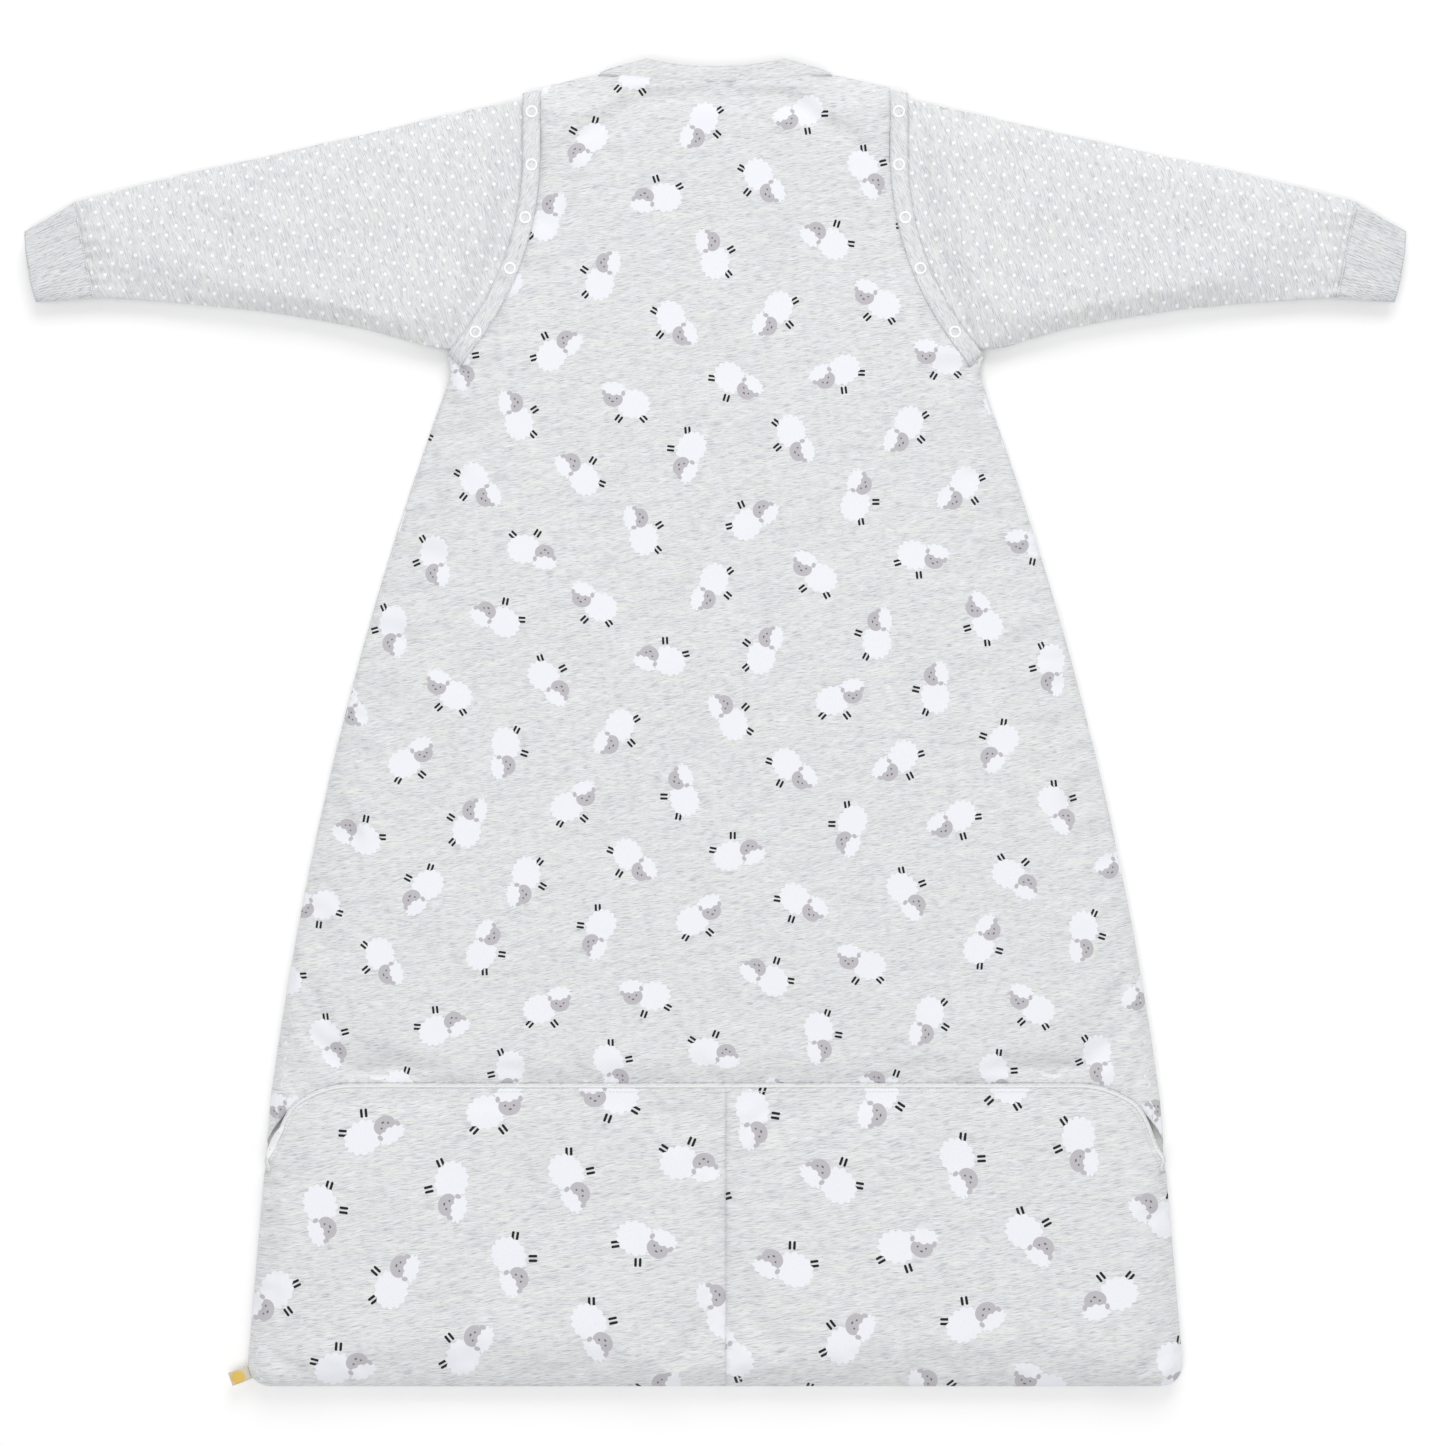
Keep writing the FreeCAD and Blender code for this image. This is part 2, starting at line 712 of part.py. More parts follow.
def flap_strip_parts(offset_in, offset_out):
    """Straight run and corners of a strip on the flap, clear of the slider where it parks."""
    park = size("foot_slider_rest")
    left = park - size("pin_place") + size("pull_length") + size("park_clear")
    right = -park - size("slider_length") / 2 - size("park_clear")
    level = size("foot_zip_height")
    straight = corner_path(
        (left, level + offset_in),
        (right, level + offset_in),
        (right, level + offset_out),
        (left, level + offset_out),
    )
    parts = [straight]
    inset = size("seam_width") + size("flap_clear")
    end_in = zip_arc_end(offset_in, inset)
    end_out = zip_arc_end(offset_out, inset)
    for _, side in SIDES:
        parts.append(
            corner_path(
                zip_arc(offset_in, 90),
                zip_arc(offset_in, (end_in + 90) / 2) + zip_arc(offset_in, end_in),
                zip_arc(offset_out, end_out),
                zip_arc(offset_out, (end_out + 90) / 2) + zip_arc(offset_out, 90),
                side=side,
            )
        )
    return parts


def make_flap():
    """The foot flap: shell halves, wadding, lining, tape and teeth."""
    centre = LEVEL["foot_zip"]
    for word, side in SIDES:
        keep(
            flat_piece(
                f"foot_flap_{word}", flap_outline(side, -SLOT), LEVEL["back_shell"], "Sizes.shell_thick"
            )
        )
    wadding = [
        flat_piece(
            f"flap_wadding_{word}",
            flap_outline(side, -size("wadding_clear")),
            LEVEL["back_wadding"],
            "Sizes.wadding_thick",
        )
        for word, side in SIDES
    ]
    group("foot_flap_wadding", wadding)
    lining = [
        flat_piece(
            f"flap_lining_{word}", flap_outline(side, -SLOT), LEVEL["back_lining"], "Sizes.lining_thick"
        )
        for word, side in SIDES
    ]
    group("foot_flap_lining", lining)
    inner, outer, tape = size("tooth_inner"), size("tooth_outer"), size("tape_outer")
    for label, near, far, thick in (
        ("foot_zip_teeth_lower", -inner, -outer, "Sizes.tooth_thick"),
        ("foot_zip_tape_lower", -outer, -tape, "Sizes.tape_thick"),
    ):
        parts = [
            flat_piece(f"{label}_{index}", part, row_level(centre, thick), thick)
            for index, part in enumerate(flap_strip_parts(near, far))
        ]
        group(label, parts)


# ---------------------------------------------------------------- sliders and pulls
def slider_profile(facing):
    """Cross-section of a slider: two plates, their flanges and the post between them."""
    half = size("slider_half")
    plate = size("slider_plate")
    inside = size("slider_inside") / 2
    flange = half - size("slider_flange")
    slot = size("tape_slot") / 2
    post = size("slider_post")
    top = inside + plate
    upper = [
        (half, top),
        (half, slot),
        (flange, slot),
        (flange, inside),
        (post, inside),
    ]
    points = upper + [(x, -z) for x, z in reversed(upper)]
    points += [(-x, -z) for x, z in upper] + [(-x, z) for x, z in reversed(upper)]
    return [(x, facing * z) for x, z in points]


def slider_shape(facing):
    """A slider centred on the origin, running along Y, with its ears on the side it faces."""
    length = size("slider_length")
    points = [Vector(x, -length / 2, z) for x, z in slider_profile(facing)]
    section = Part.Face(Part.makePolygon(points + points[:1]))
    slider = section.extrude(Vector(0, length, 0))
    for low in (size("ear_inner"), -size("ear_inner") - size("ear_width")):
        ear = ear_shape(low)
        if facing < 0:
            ear = ear.mirror(Vector(0, 0, 0), Vector(0, 0, 1))
        slider = slider.fuse(ear)
    reach = ear_outer() + 1
    start = Vector(-reach, size("pin_place"), facing * pin_height())
    hole = Part.makeCylinder(size("pin_radius") + size("pin_clear"), 2 * reach, start, Vector(1, 0, 0))
    return slider.cut(hole).removeSplitter()


def ear_shape(low):
    """One ear above the slider, from low in X, with its foot sunk into the upper plate."""
    radius, width = size("ear_radius"), size("ear_width")
    place = size("pin_place")
    root = size("slider_inside") / 2 + size("slider_plate") / 2
    disc = Part.makeCylinder(radius, width, Vector(low, place, pin_height()), Vector(1, 0, 0))
    foot = Part.makeBox(width, 2 * radius, pin_height() - root, Vector(low, place - radius, root))
    return disc.fuse(foot)


def ear_outer():
    """Distance from the slider's middle to the outer face of an ear."""
    return size("ear_inner") + size("ear_width")


def pin_height():
    """Height of the pull's cross bar above the middle of the slider."""
    return size("slider_inside") / 2 + size("slider_plate") + size("pin_rise")


def pull_shape(facing):
    """A zip pull lying back from its cross bar, with a grip and a hole at its far end."""
    length = size("pull_length")
    half = size("pull_half")
    thick = size("pull_thick")
    neck_half, neck_length = size("pull_neck_half"), size("pull_neck_length")
    overlap = 0.5
    neck = Part.makeBox(2 * neck_half, neck_length, thick, Vector(-neck_half, -neck_length, -thick / 2))
    grip_length = length - neck_length + overlap
    grip = Part.makeBox(2 * half, grip_length, thick, Vector(-half, -length, -thick / 2))
    upright = [edge for edge in grip.Edges if abs(edge.tangentAt(edge.FirstParameter).z) > 0.9]
    grip = grip.makeFillet(half * 0.6, upright)
    reach = ear_outer()
    bar = Part.makeCylinder(size("pin_radius"), 2 * reach, Vector(-reach, 0, 0), Vector(1, 0, 0))
    pull = bar.fuse([neck, grip])
    middle = Vector(0, size("pull_eye_inset") - length, -thick)
    eye = Part.makeCylinder(size("pull_eye_radius"), 2 * thick, middle, Vector(0, 0, 1))
    pull = pull.cut(eye).removeSplitter()
    pull.translate(Vector(0, size("pin_place"), facing * pin_height()))
    return pull


def place_shape(label, shape, placement):
    """A coded shape, set down where it belongs."""
    feature = doc.addObject("Part::Feature", label)
    feature.Label = label
    feature.Shape = shape
    feature.Placement = placement.multiply(shape.Placement)
    return keep(feature)


def make_sliders():
    """Both sliders and their pulls, at rest."""
    front = Placement(Vector(0, size("front_slider_rest"), level_of("front_zip")), Rotation())
    place_shape("front_zip_slider", slider_shape(-1), front)
    place_shape("front_zip_pull", pull_shape(-1), front)
    along_x = Rotation(Vector(0, 0, 1), 90)
    foot = Placement(
        Vector(size("foot_slider_rest"), size("foot_zip_height"), level_of("foot_zip")), along_x
    )
    place_shape("foot_zip_slider", slider_shape(1), foot)
    place_shape("foot_zip_pull", pull_shape(1), foot)


# ---------------------------------------------------------------- press studs
def stud_places(side):
    """Where the press studs sit along the middle of an armhole binding."""
    steps = [size("stud_first") + size("stud_pitch") * number for number in range(4)]
    steps.append(size("stud_last"))
    top = shoulder_height(size("armhole_half"))
    straight = top - size("armhole_straight_end")
    places = []
    for step in steps:
        if step <= straight:
            across, along = size("armhole_half"), top - step
        else:
            turn = math.degrees((step - straight) / size("armhole_radius"))
            across, along = armhole_point(0, turn)
        places.append(Vector(side * across, along, 0))
    return places


def stud_group(label, side, one, middle):
    """Ten copies of one piece of a stud: five facing up and, mirrored, five facing down."""
    flipped = one.mirror(Vector(0, 0, middle), Vector(0, 0, 1))
    copies = [shape.translated(place) for shape in (one, flipped) for place in stud_places(side)]
    feature = doc.addObject("Part::Feature", label)
    feature.Label = label
    feature.Shape = Part.makeCompound(copies)
    return keep(feature)


def ring_shape(level):
    """A domed ring with prongs that go through the binding."""
    inner, outer = size("stud_ring_hole"), size("stud_ring_radius")
    thick = size("stud_ring_thick")
    shoulder = 0.35 * thick
    start = Vector(inner, 0, level)
    edges = [
        Part.LineSegment(start, Vector(outer, 0, level)).toShape(),
        Part.LineSegment(Vector(outer, 0, level), Vector(outer, 0, level + shoulder)).toShape(),
        Part.Arc(
            Vector(outer, 0, level + shoulder),
            Vector((inner + outer) / 2, 0, level + thick),
            Vector(inner, 0, level + shoulder),
        ).toShape(),
        Part.LineSegment(Vector(inner, 0, level + shoulder), start).toShape(),
    ]
    ring = Part.Face(Part.Wire(edges)).revolve(Vector(), Vector(0, 0, 1), 360)
    count = int(size("prong_count"))
    depth = size("binding_thick") - size("stud_socket_depth")
    for number in range(count):
        turn = 2 * math.pi * number / count
        middle = (inner + outer) / 2
        foot = Vector(middle * math.cos(turn), middle * math.sin(turn), level - depth)
        ring = ring.fuse(Part.makeCylinder(size("prong_radius"), depth + 0.1, foot))
    return ring


def socket_shape(level):
    """A socket let into the binding, its mouth towards the sleeve."""
    depth = size("stud_socket_depth")
    socket = Part.makeCylinder(size("stud_base_radius"), depth, Vector(0, 0, level))
    open_depth = depth - size("stud_socket_floor")
    mouth = Part.makeCylinder(size("stud_mouth_radius"), open_depth, Vector(0, 0, level))
    return socket.cut(mouth)


def stud_shape(level):
    """A stud on the sleeve: a flange and a rounded head."""
    base = Part.makeCylinder(size("stud_base_radius"), size("stud_base_thick"), Vector(0, 0, level))
    radius = size("stud_post_radius")
    head = Part.makeCylinder(radius, size("stud_height"), Vector(0, 0, level))
    rim = [edge for edge in head.Edges if abs(edge.CenterOfMass.z - level - size("stud_height")) < 1e-6]
    return base.fuse(head.makeFillet(size("stud_head_round"), rim))


def backing_shape(level):
    """The ring inside the sleeve that a stud is closed on."""
    thick = size("stud_back_thick")
    low = Vector(0, 0, level - thick)
    disc = Part.makeCylinder(size("stud_base_radius"), thick, low)
    return disc.cut(Part.makeCylinder(size("stud_back_hole"), thick, low))


def make_studs():
    """Rings and sockets on the bindings, studs and their backing rings on the sleeves."""
    middle = level_of("middle")
    under_binding = level_of("back_lining")
    over_binding = under_binding + size("binding_thick")
    sleeve_top = middle + size("sleeve_thick") / 2
    inside_sleeve = sleeve_top - size("shell_thick") - size("sleeve_lining_thick")
    for word, side in SIDES:
        stud_group(f"press_stud_rings_{word}", side, ring_shape(over_binding), middle)
        stud_group(f"press_stud_sockets_{word}", side, socket_shape(under_binding), middle)
        stud_group(f"sleeve_studs_{word}", side, stud_shape(sleeve_top), middle)
        stud_group(f"sleeve_stud_backs_{word}", side, backing_shape(inside_sleeve), middle)


# ---------------------------------------------------------------- sleeves
SLEEVE_TOP = (532, 433)
SLEEVE_LOW = (516, 354)
CUFF_TOP = (size("half_span"), 409)
CUFF_LOW = (564, 350)
UNDERARM = (240, 313)
SLEEVE_UPPER_MIDDLE = (345, 480.5)
SLEEVE_LOWER_MIDDLE = (360, 337)
SLEEVE_LEAN = 0.2


def sleeve_outline(side, inset):
    """The flat sleeve, from its head under the binding to the cuff."""
    overlap = size("sleeve_overlap")
    sweep = size("sleeve_head_sweep")
    head = size("armhole_half") - overlap
    corner = armhole_point(overlap, sweep)
    lean = SLEEVE_LEAN * inset
    return corner_path(
        (head, size("sleeve_head_top") - inset),
        lowered(SLEEVE_UPPER_MIDDLE, inset) + lowered(SLEEVE_TOP, inset, lean),
        lowered(SLEEVE_LOW, -inset, -lean),
        lowered(SLEEVE_LOWER_MIDDLE, -inset) + lowered(UNDERARM, -inset),
        lowered(corner, -inset, -lean),
        armhole_point(overlap, sweep / 2) + (head, size("armhole_straight_end")),
        side=side,
    )


def lowered(point, drop, lean=0):
    """A point moved down, and towards the body by the lean."""
    return (point[0] - lean, point[1] - drop)


def sleeve_edges(side):
    """The folded upper edge and the sewn lower edge of a sleeve."""
    overlap = size("sleeve_overlap")
    head = size("armhole_half") - overlap
    top = size("sleeve_head_top")
    corner = armhole_point(overlap, size("sleeve_head_sweep"))
    lean = SLEEVE_LEAN * SEAM
    upper = corner_path(
        (head, top),
        SLEEVE_UPPER_MIDDLE + SLEEVE_TOP,
        lowered(SLEEVE_TOP, SEAM, lean),
        lowered(SLEEVE_UPPER_MIDDLE, SEAM) + (head, top - SEAM),
        side=side,
    )
    lower = corner_path(
        SLEEVE_LOW,
        SLEEVE_LOWER_MIDDLE + UNDERARM,
        corner,
        lowered(corner, -SEAM, -lean),
        lowered(UNDERARM, -SEAM),
        lowered(SLEEVE_LOWER_MIDDLE, -SEAM) + lowered(SLEEVE_LOW, -SEAM, -lean),
        side=side,
    )
    return upper, lower


def make_sleeves():
    """Shell halves, linings and edges of both sleeves."""
    low = f"{LEVEL['middle']} - Sizes.sleeve_thick / 2"
    high = f"{LEVEL['middle']} + Sizes.sleeve_thick / 2"
    shell = "Sizes.shell_thick"
    lining = "Sizes.sleeve_lining_thick"
    for word, side in SIDES:
        outline = sleeve_outline(side, 0)
        keep(flat_piece(f"sleeve_back_{word}", outline, f"{high} - {shell}", shell))
        keep(flat_piece(f"sleeve_front_{word}", outline, low, shell))
        inner = sleeve_outline(side, SEAM)
        upper_lining = flat_piece(f"lining_back_{word}", inner, f"{high} - {shell} - {lining}", lining)
        lower_lining = flat_piece(f"lining_front_{word}", inner, f"{low} + {shell}", lining)
        group(f"sleeve_lining_{word}", [upper_lining, lower_lining])
        strips = [
            flat_piece(
                f"sleeve_edge_{number}_{word}",
                strip,
                f"{low} + {shell}",
                f"Sizes.sleeve_thick - 2 * {shell}",
            )
            for number, strip in enumerate(sleeve_edges(side))
        ]
        group(f"sleeve_seam_{word}", strips)


def cuff_outline(side):
    """The knitted cuff, from the sleeve's end to the wrist."""
    bow = 1.5
    wrist_middle = ((CUFF_TOP[0] + CUFF_LOW[0]) / 2 + bow, (CUFF_TOP[1] + CUFF_LOW[1]) / 2)
    return corner_path(SLEEVE_TOP, CUFF_TOP, wrist_middle + CUFF_LOW, SLEEVE_LOW, side=side)


def cuff_hollow(side):
    """The inside of the cuff, which runs past both of its ends."""
    wall = size("cuff_wall")
    past = 16
    start, stop = SLEEVE_LOW[0] - past, CUFF_TOP[0] + past
    top_slope = (CUFF_TOP[1] - SLEEVE_TOP[1]) / (CUFF_TOP[0] - SLEEVE_TOP[0])
    low_slope = (CUFF_LOW[1] - SLEEVE_LOW[1]) / (CUFF_LOW[0] - SLEEVE_LOW[0])

    def top_edge(across):
        return SLEEVE_TOP[1] - wall * math.hypot(1, top_slope) + top_slope * (across - SLEEVE_TOP[0])

    def low_edge(across):
        return SLEEVE_LOW[1] + wall * math.hypot(1, low_slope) + low_slope * (across - SLEEVE_LOW[0])

    return corner_path(
        (start, top_edge(start)),
        (stop, top_edge(stop)),
        (stop, low_edge(stop)),
        (start, low_edge(start)),
        side=side,
    )


def make_cuffs():
    """Two knitted cuffs, each a flat tube."""
    for word, side in SIDES:
        low = f"{LEVEL['middle']} - Sizes.cuff_thick / 2"
        body = keep(flat_piece(f"cuff_{word}", cuff_outline(side), low, "Sizes.cuff_thick"))
        pocket = body.newObject("PartDesign::Pocket", f"cuff_hollow_{word}")
        level = f"{LEVEL['middle']} - Sizes.cuff_gap / 2"
        pocket.Profile = add_sketch(body, f"cuff_inside_{word}", cuff_hollow(side), level)
        pocket.setExpression("Length", "Sizes.cuff_gap")
        pocket.Reversed = True


def make_tab():
    """The folded ribbon in the seam at the left corner of the hem."""
    box = doc.addObject("Part::Box", "ribbon")
    box.setExpression("Length", "Sizes.tab_length")
    box.setExpression("Width", "Sizes.tab_width")
    box.setExpression("Height", "Sizes.tab_thick")
    lean = size("tab_lean")
    along = Vector(math.cos(math.radians(lean)), math.sin(math.radians(lean)), 0)
    across = Vector(-along.y, along.x, 0)
    corner = Vector(size("hem_corner") - size("hem_half"), hem_corner_height(), 0)
    start = corner - along * (size("hem_corner") - size("tab_buried") + size("tab_length"))
    start -= across * (size("tab_width") / 2)
    start.z = level_of("middle") - size("tab_thick") / 2
    box.Placement = Placement(start, Rotation(Vector(0, 0, 1), lean))
    tab = doc.addObject("Part::Cut", "ribbon_tab")
    tab.Label = "ribbon_tab"
    tab.Base = box
    tab.Tool = doc.getObject("side_seam_left")
    keep(tab)


# ---------------------------------------------------------------- build, check and write
def check_document():
    """Stops if anything failed or a piece has no valid shape."""
    doc.recompute()
    for thing in doc.Objects:
        if "Invalid" in thing.State or "Error" in thing.State:
            raise RuntimeError(f"{thing.Label} failed: {thing.State}")
    for piece in pieces:
        if piece.Shape.isNull() or not piece.Shape.isValid():
            raise RuntimeError(f"{piece.Label} has no valid shape")


def write_pieces():
    """Writes one STEP file for each piece."""
    os.makedirs("parts", exist_ok=True)
    for piece in pieces:
        piece.Shape.exportStep(os.path.join("parts", f"{piece.Label}.step"))
        print(f"{piece.Label}: {len(piece.Shape.Solids)} solid, {piece.Shape.Volume / 1000:.2f} cm3")


make_back_panel()
make_front_panels()
make_foot_panel()
make_seams()
make_bindings()
make_front_zip()
make_foot_zip()
make_flap()
make_sliders()
make_studs()
make_sleeves()
make_cuffs()
make_tab()
check_document()
write_pieces()
print(len(pieces), "pieces")
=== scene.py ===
import math

import bmesh
import bpy
import numpy as np
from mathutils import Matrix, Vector, noise
from mathutils.geometry import delaunay_2d_cdt


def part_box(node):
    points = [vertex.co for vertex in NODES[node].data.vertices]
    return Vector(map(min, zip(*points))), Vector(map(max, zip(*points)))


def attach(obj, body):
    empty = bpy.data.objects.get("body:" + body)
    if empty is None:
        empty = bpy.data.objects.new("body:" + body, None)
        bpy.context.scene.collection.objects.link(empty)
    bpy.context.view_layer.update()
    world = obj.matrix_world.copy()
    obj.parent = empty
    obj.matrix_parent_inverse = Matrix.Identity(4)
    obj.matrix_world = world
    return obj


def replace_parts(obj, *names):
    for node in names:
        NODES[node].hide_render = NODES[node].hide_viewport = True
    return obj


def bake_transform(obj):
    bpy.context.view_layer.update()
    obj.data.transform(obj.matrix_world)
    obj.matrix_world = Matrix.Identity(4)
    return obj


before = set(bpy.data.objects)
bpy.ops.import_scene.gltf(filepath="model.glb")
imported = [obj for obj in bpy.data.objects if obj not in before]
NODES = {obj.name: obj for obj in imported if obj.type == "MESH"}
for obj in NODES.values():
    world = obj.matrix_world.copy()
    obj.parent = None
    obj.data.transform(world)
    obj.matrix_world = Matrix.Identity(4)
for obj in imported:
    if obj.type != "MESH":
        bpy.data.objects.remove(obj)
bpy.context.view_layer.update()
SIDES = {"left": -1, "right": 1}

# Levels in metres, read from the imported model: the bag lies on its front.
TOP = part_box("back_shell")[1].z
MIDDLE = (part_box("sleeve_back_left")[1].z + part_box("sleeve_front_left")[0].z) / 2
LINING_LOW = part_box("back_lining")[0].z
LINING_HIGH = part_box("foot_lining")[1].z
SHELL_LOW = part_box("foot_shell_left")[0].z
BINDING_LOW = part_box("neck_binding_back")[0].z
BINDING_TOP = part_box("armhole_binding_left")[1].z
FRONT_BINDING_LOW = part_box("armhole_binding_left")[0].z
FRONT_LINING_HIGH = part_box("front_lining_left")[1].z
FOOT_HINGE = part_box("foot_shell_left")[1].y
SLIDER_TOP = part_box("foot_zip_slider")[1].z
ZIP_LINE = (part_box("foot_zip_slider")[0].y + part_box("foot_zip_slider")[1].y) / 2

# How the padding falls away towards the edges of the bag.
SEAM_REACH = 0.032
BINDING_REACH = 0.016
BINDING_DROP = (BINDING_TOP + 0.0008 - MIDDLE) / (TOP - MIDDLE)
COLLAR_HEIGHT = TOP - 0.0010
COLLAR_DROP = (COLLAR_HEIGHT - MIDDLE) / (TOP - MIDDLE)
COLLAR_OVERLAP = 0.0016
ZIP_REACH = 0.034
ZIP_DROP = 0.83

FABRIC_STEP = 0.008
BACK_PRINT = 1.06
FOOT_PRINT = 1.24
STREAK_ANGLE = math.radians(8)
BAND_ANGLE = math.radians(-62)
SLEEVE_STREAK_ANGLE = math.radians(-70)


# ---------------------------------------------------------------- materials


class Shader:
    """A material on the Principled shader, with short calls that add nodes to it."""

    def __init__(self, name, roughness, **settings):
        self.material = bpy.data.materials.new(name)
        self.material.use_nodes = True
        self.tree = self.material.node_tree
        self.principled = self.tree.nodes["Principled BSDF"]
        self.principled.inputs["Roughness"].default_value = roughness
        for socket, value in settings.items():
            self.principled.inputs[socket.replace("_", " ")].default_value = value

    def node(self, kind, inputs=None, **settings):
        """A new node, its inputs linked to sockets or set to values."""
        node = self.tree.nodes.new("ShaderNode" + kind)
        for key, value in settings.items():
            setattr(node, key, value)
        for key, value in (inputs or {}).items():
            if isinstance(value, bpy.types.NodeSocket):
                self.tree.links.new(value, node.inputs[key])
            else:
                node.inputs[key].default_value = value
        return node

    def math(self, operation, *values, clamp=False):
        """The result of a sum on numbers or sockets."""
        inputs = dict(enumerate(values))
        return self.node("Math", inputs, operation=operation, use_clamp=clamp).outputs[0]

    def vector(self, operation, *values, output=0):
        """The result of a sum on vectors."""
        inputs = dict(enumerate(values))
        return self.node("VectorMath", inputs, operation=operation).outputs[output]

    def turned(self, vector, angle):
        """A vector turned about the z axis by an angle, which may be a socket."""
        return self.node(
            "VectorRotate", {"Vector": vector, "Angle": angle}, rotation_type="Z_AXIS"
        ).outputs[0]

    def noise(self, vector, scale, detail=2.0):
        """Smooth noise from 0 to 1, with a scale along each axis."""
        stretched = self.vector("MULTIPLY", vector, scale)
        inputs = {"Vector": stretched, "Scale": 1.0, "Detail": detail, "Roughness": 0.55}
        return self.node("TexNoise", inputs).outputs["Fac"]

    def ramp(self, value, *stops):
        """A colour that blends through stops, each a place from 0 to 1 and a colour."""
        node = self.node("ValToRGB", {"Fac": value})
        elements = node.color_ramp.elements
        for element, (place, colour) in zip(elements, stops):
            element.position = place
            element.color = (*colour, 1.0)
        for place, colour in stops[2:]:
            elements.new(place).color = (*colour, 1.0)
        return node.outputs["Color"]

    def mix(self, share, first, second):
        """A colour between two colours; each is a socket or three numbers."""
        inputs = {"Factor": share}
        node = self.node("Mix", inputs, data_type="RGBA")
        for socket, value in ((node.inputs[6], first), (node.inputs[7], second)):
            if isinstance(value, bpy.types.NodeSocket):
                self.tree.links.new(value, socket)
            else:
                socket.default_value = (*value, 1.0)
        return node.outputs[2]

    def finish(self, colour, height=None, depth=0.001, strength=1.0):
        """Sets the colour, and a bump of that height in metres."""
        self.tree.links.new(colour, self.principled.inputs["Base Color"])
        if height is not None:
            inputs = {"Height": height, "Distance": depth, "Strength": strength}
            bump = self.node("Bump", inputs)
            self.tree.links.new(bump.outputs["Normal"], self.principled.inputs["Normal"])
        return self.material


def inside(shader, distance, softness=0.25):
    """1 inside a shape and 0 outside, from the signed distance to its edge in millimetres."""
    return shader.math("MULTIPLY_ADD", distance, -1 / softness, 0.5, clamp=True)


def union(shader, *masks):
    """1 where any of the masks is."""
    result = masks[0]
    for mask in masks[1:]:
        result = shader.math("MAXIMUM", result, mask)
    return result


def blob(shader, place, centre, radii, lobes=0, depth=0.0):
    """An ellipse whose edge can be drawn in lobes."""
    offset = shader.vector("SUBTRACT", place, (*centre, 0.0))
    scaled = shader.vector("MULTIPLY", offset, (1 / radii[0], 1 / radii[1], 0.0))
    radius = shader.vector("LENGTH", scaled, output=1)
    if lobes:
        parts = shader.node("SeparateXYZ", {0: scaled}).outputs
        angle = shader.math("ARCTAN2", parts[1], parts[0])
        wave = shader.math("SINE", shader.math("MULTIPLY", angle, lobes / 2))
        wave = shader.math("MULTIPLY", shader.math("ABSOLUTE", wave), depth)
        radius = shader.math("SUBTRACT", radius, wave)
    distance = shader.math("MULTIPLY_ADD", radius, radii[0], -radii[0])
    return inside(shader, distance)


def mirrored(shader, place, centre, turn, apart):
    """Local coordinates of one of two equal shapes, each apart/2 either side of a centre."""
    local = shader.turned(shader.vector("SUBTRACT", place, (*centre, 0.0)), -turn)
    parts = shader.node("SeparateXYZ", {0: local}).outputs
    across = shader.math("SUBTRACT", shader.math("ABSOLUTE", parts[0]), apart / 2)
    return shader.node("CombineXYZ", {0: across, 1: parts[1]}).outputs[0]


def stroke(shader, place, length, width):
    """A short stroke with round ends along y."""
    parts = shader.node("SeparateXYZ", {0: place}).outputs
    past = shader.math("SUBTRACT", shader.math("ABSOLUTE", parts[1]), (length - width) / 2)
    past = shader.math("MAXIMUM", past, 0.0)
    spread = shader.node("CombineXYZ", {0: parts[0], 1: past}).outputs[0]
    radius = shader.vector("LENGTH", spread, output=1)
    return inside(shader, shader.math("SUBTRACT", radius, width / 2))


def cloth_place(shader):
    """The place on the flat cloth, in metres: x runs along the knitted rows."""
    return shader.node("Attribute", attribute_name="cloth").outputs["Vector"]


def melange(shader, cloth, streak=1.0):
    """Knitted yarn of mixed fibres: thin grey and cream streaks along the rows, over soft bands."""
    warp = shader.noise(cloth, (55.0, 55.0, 0.0), 1.0)
    bent = shader.node("CombineXYZ", {1: shader.math("MULTIPLY", warp, 0.0035)}).outputs[0]
    place = shader.vector("ADD", cloth, bent)
    bands = shader.noise(place, (26.0, 170.0, 1.0), 2.0)
    streaks = shader.noise(place, (105.0, 1700.0, 1.0), 3.0)
    flecks = shader.noise(place, (130.0, 1900.0, 1.0), 2.0)
    hue = shader.noise(place, (40.0, 240.0, 3.0), 2.0)
    tone = shader.math("MULTIPLY_ADD", bands, 0.20, shader.math("MULTIPLY", streaks, 0.80))
    ground = shader.ramp(
        tone,
        (0.34, (0.49, 0.515, 0.55)),
        (0.45, (0.675, 0.685, 0.70)),
        (0.54, (0.755, 0.762, 0.775)),
        (0.66, (0.84, 0.843, 0.85)),
    )
    cream = shader.math("MULTIPLY_ADD", hue, 5.0, -2.6, clamp=True)
    ground = shader.mix(shader.math("MULTIPLY", cream, 0.55), ground, (0.80, 0.815, 0.75))
    dark = shader.math("MULTIPLY_ADD", flecks, 11.0, -6.1, clamp=True)
    return shader.mix(shader.math("MULTIPLY", dark, 0.55 * streak), ground, (0.30, 0.32, 0.35))


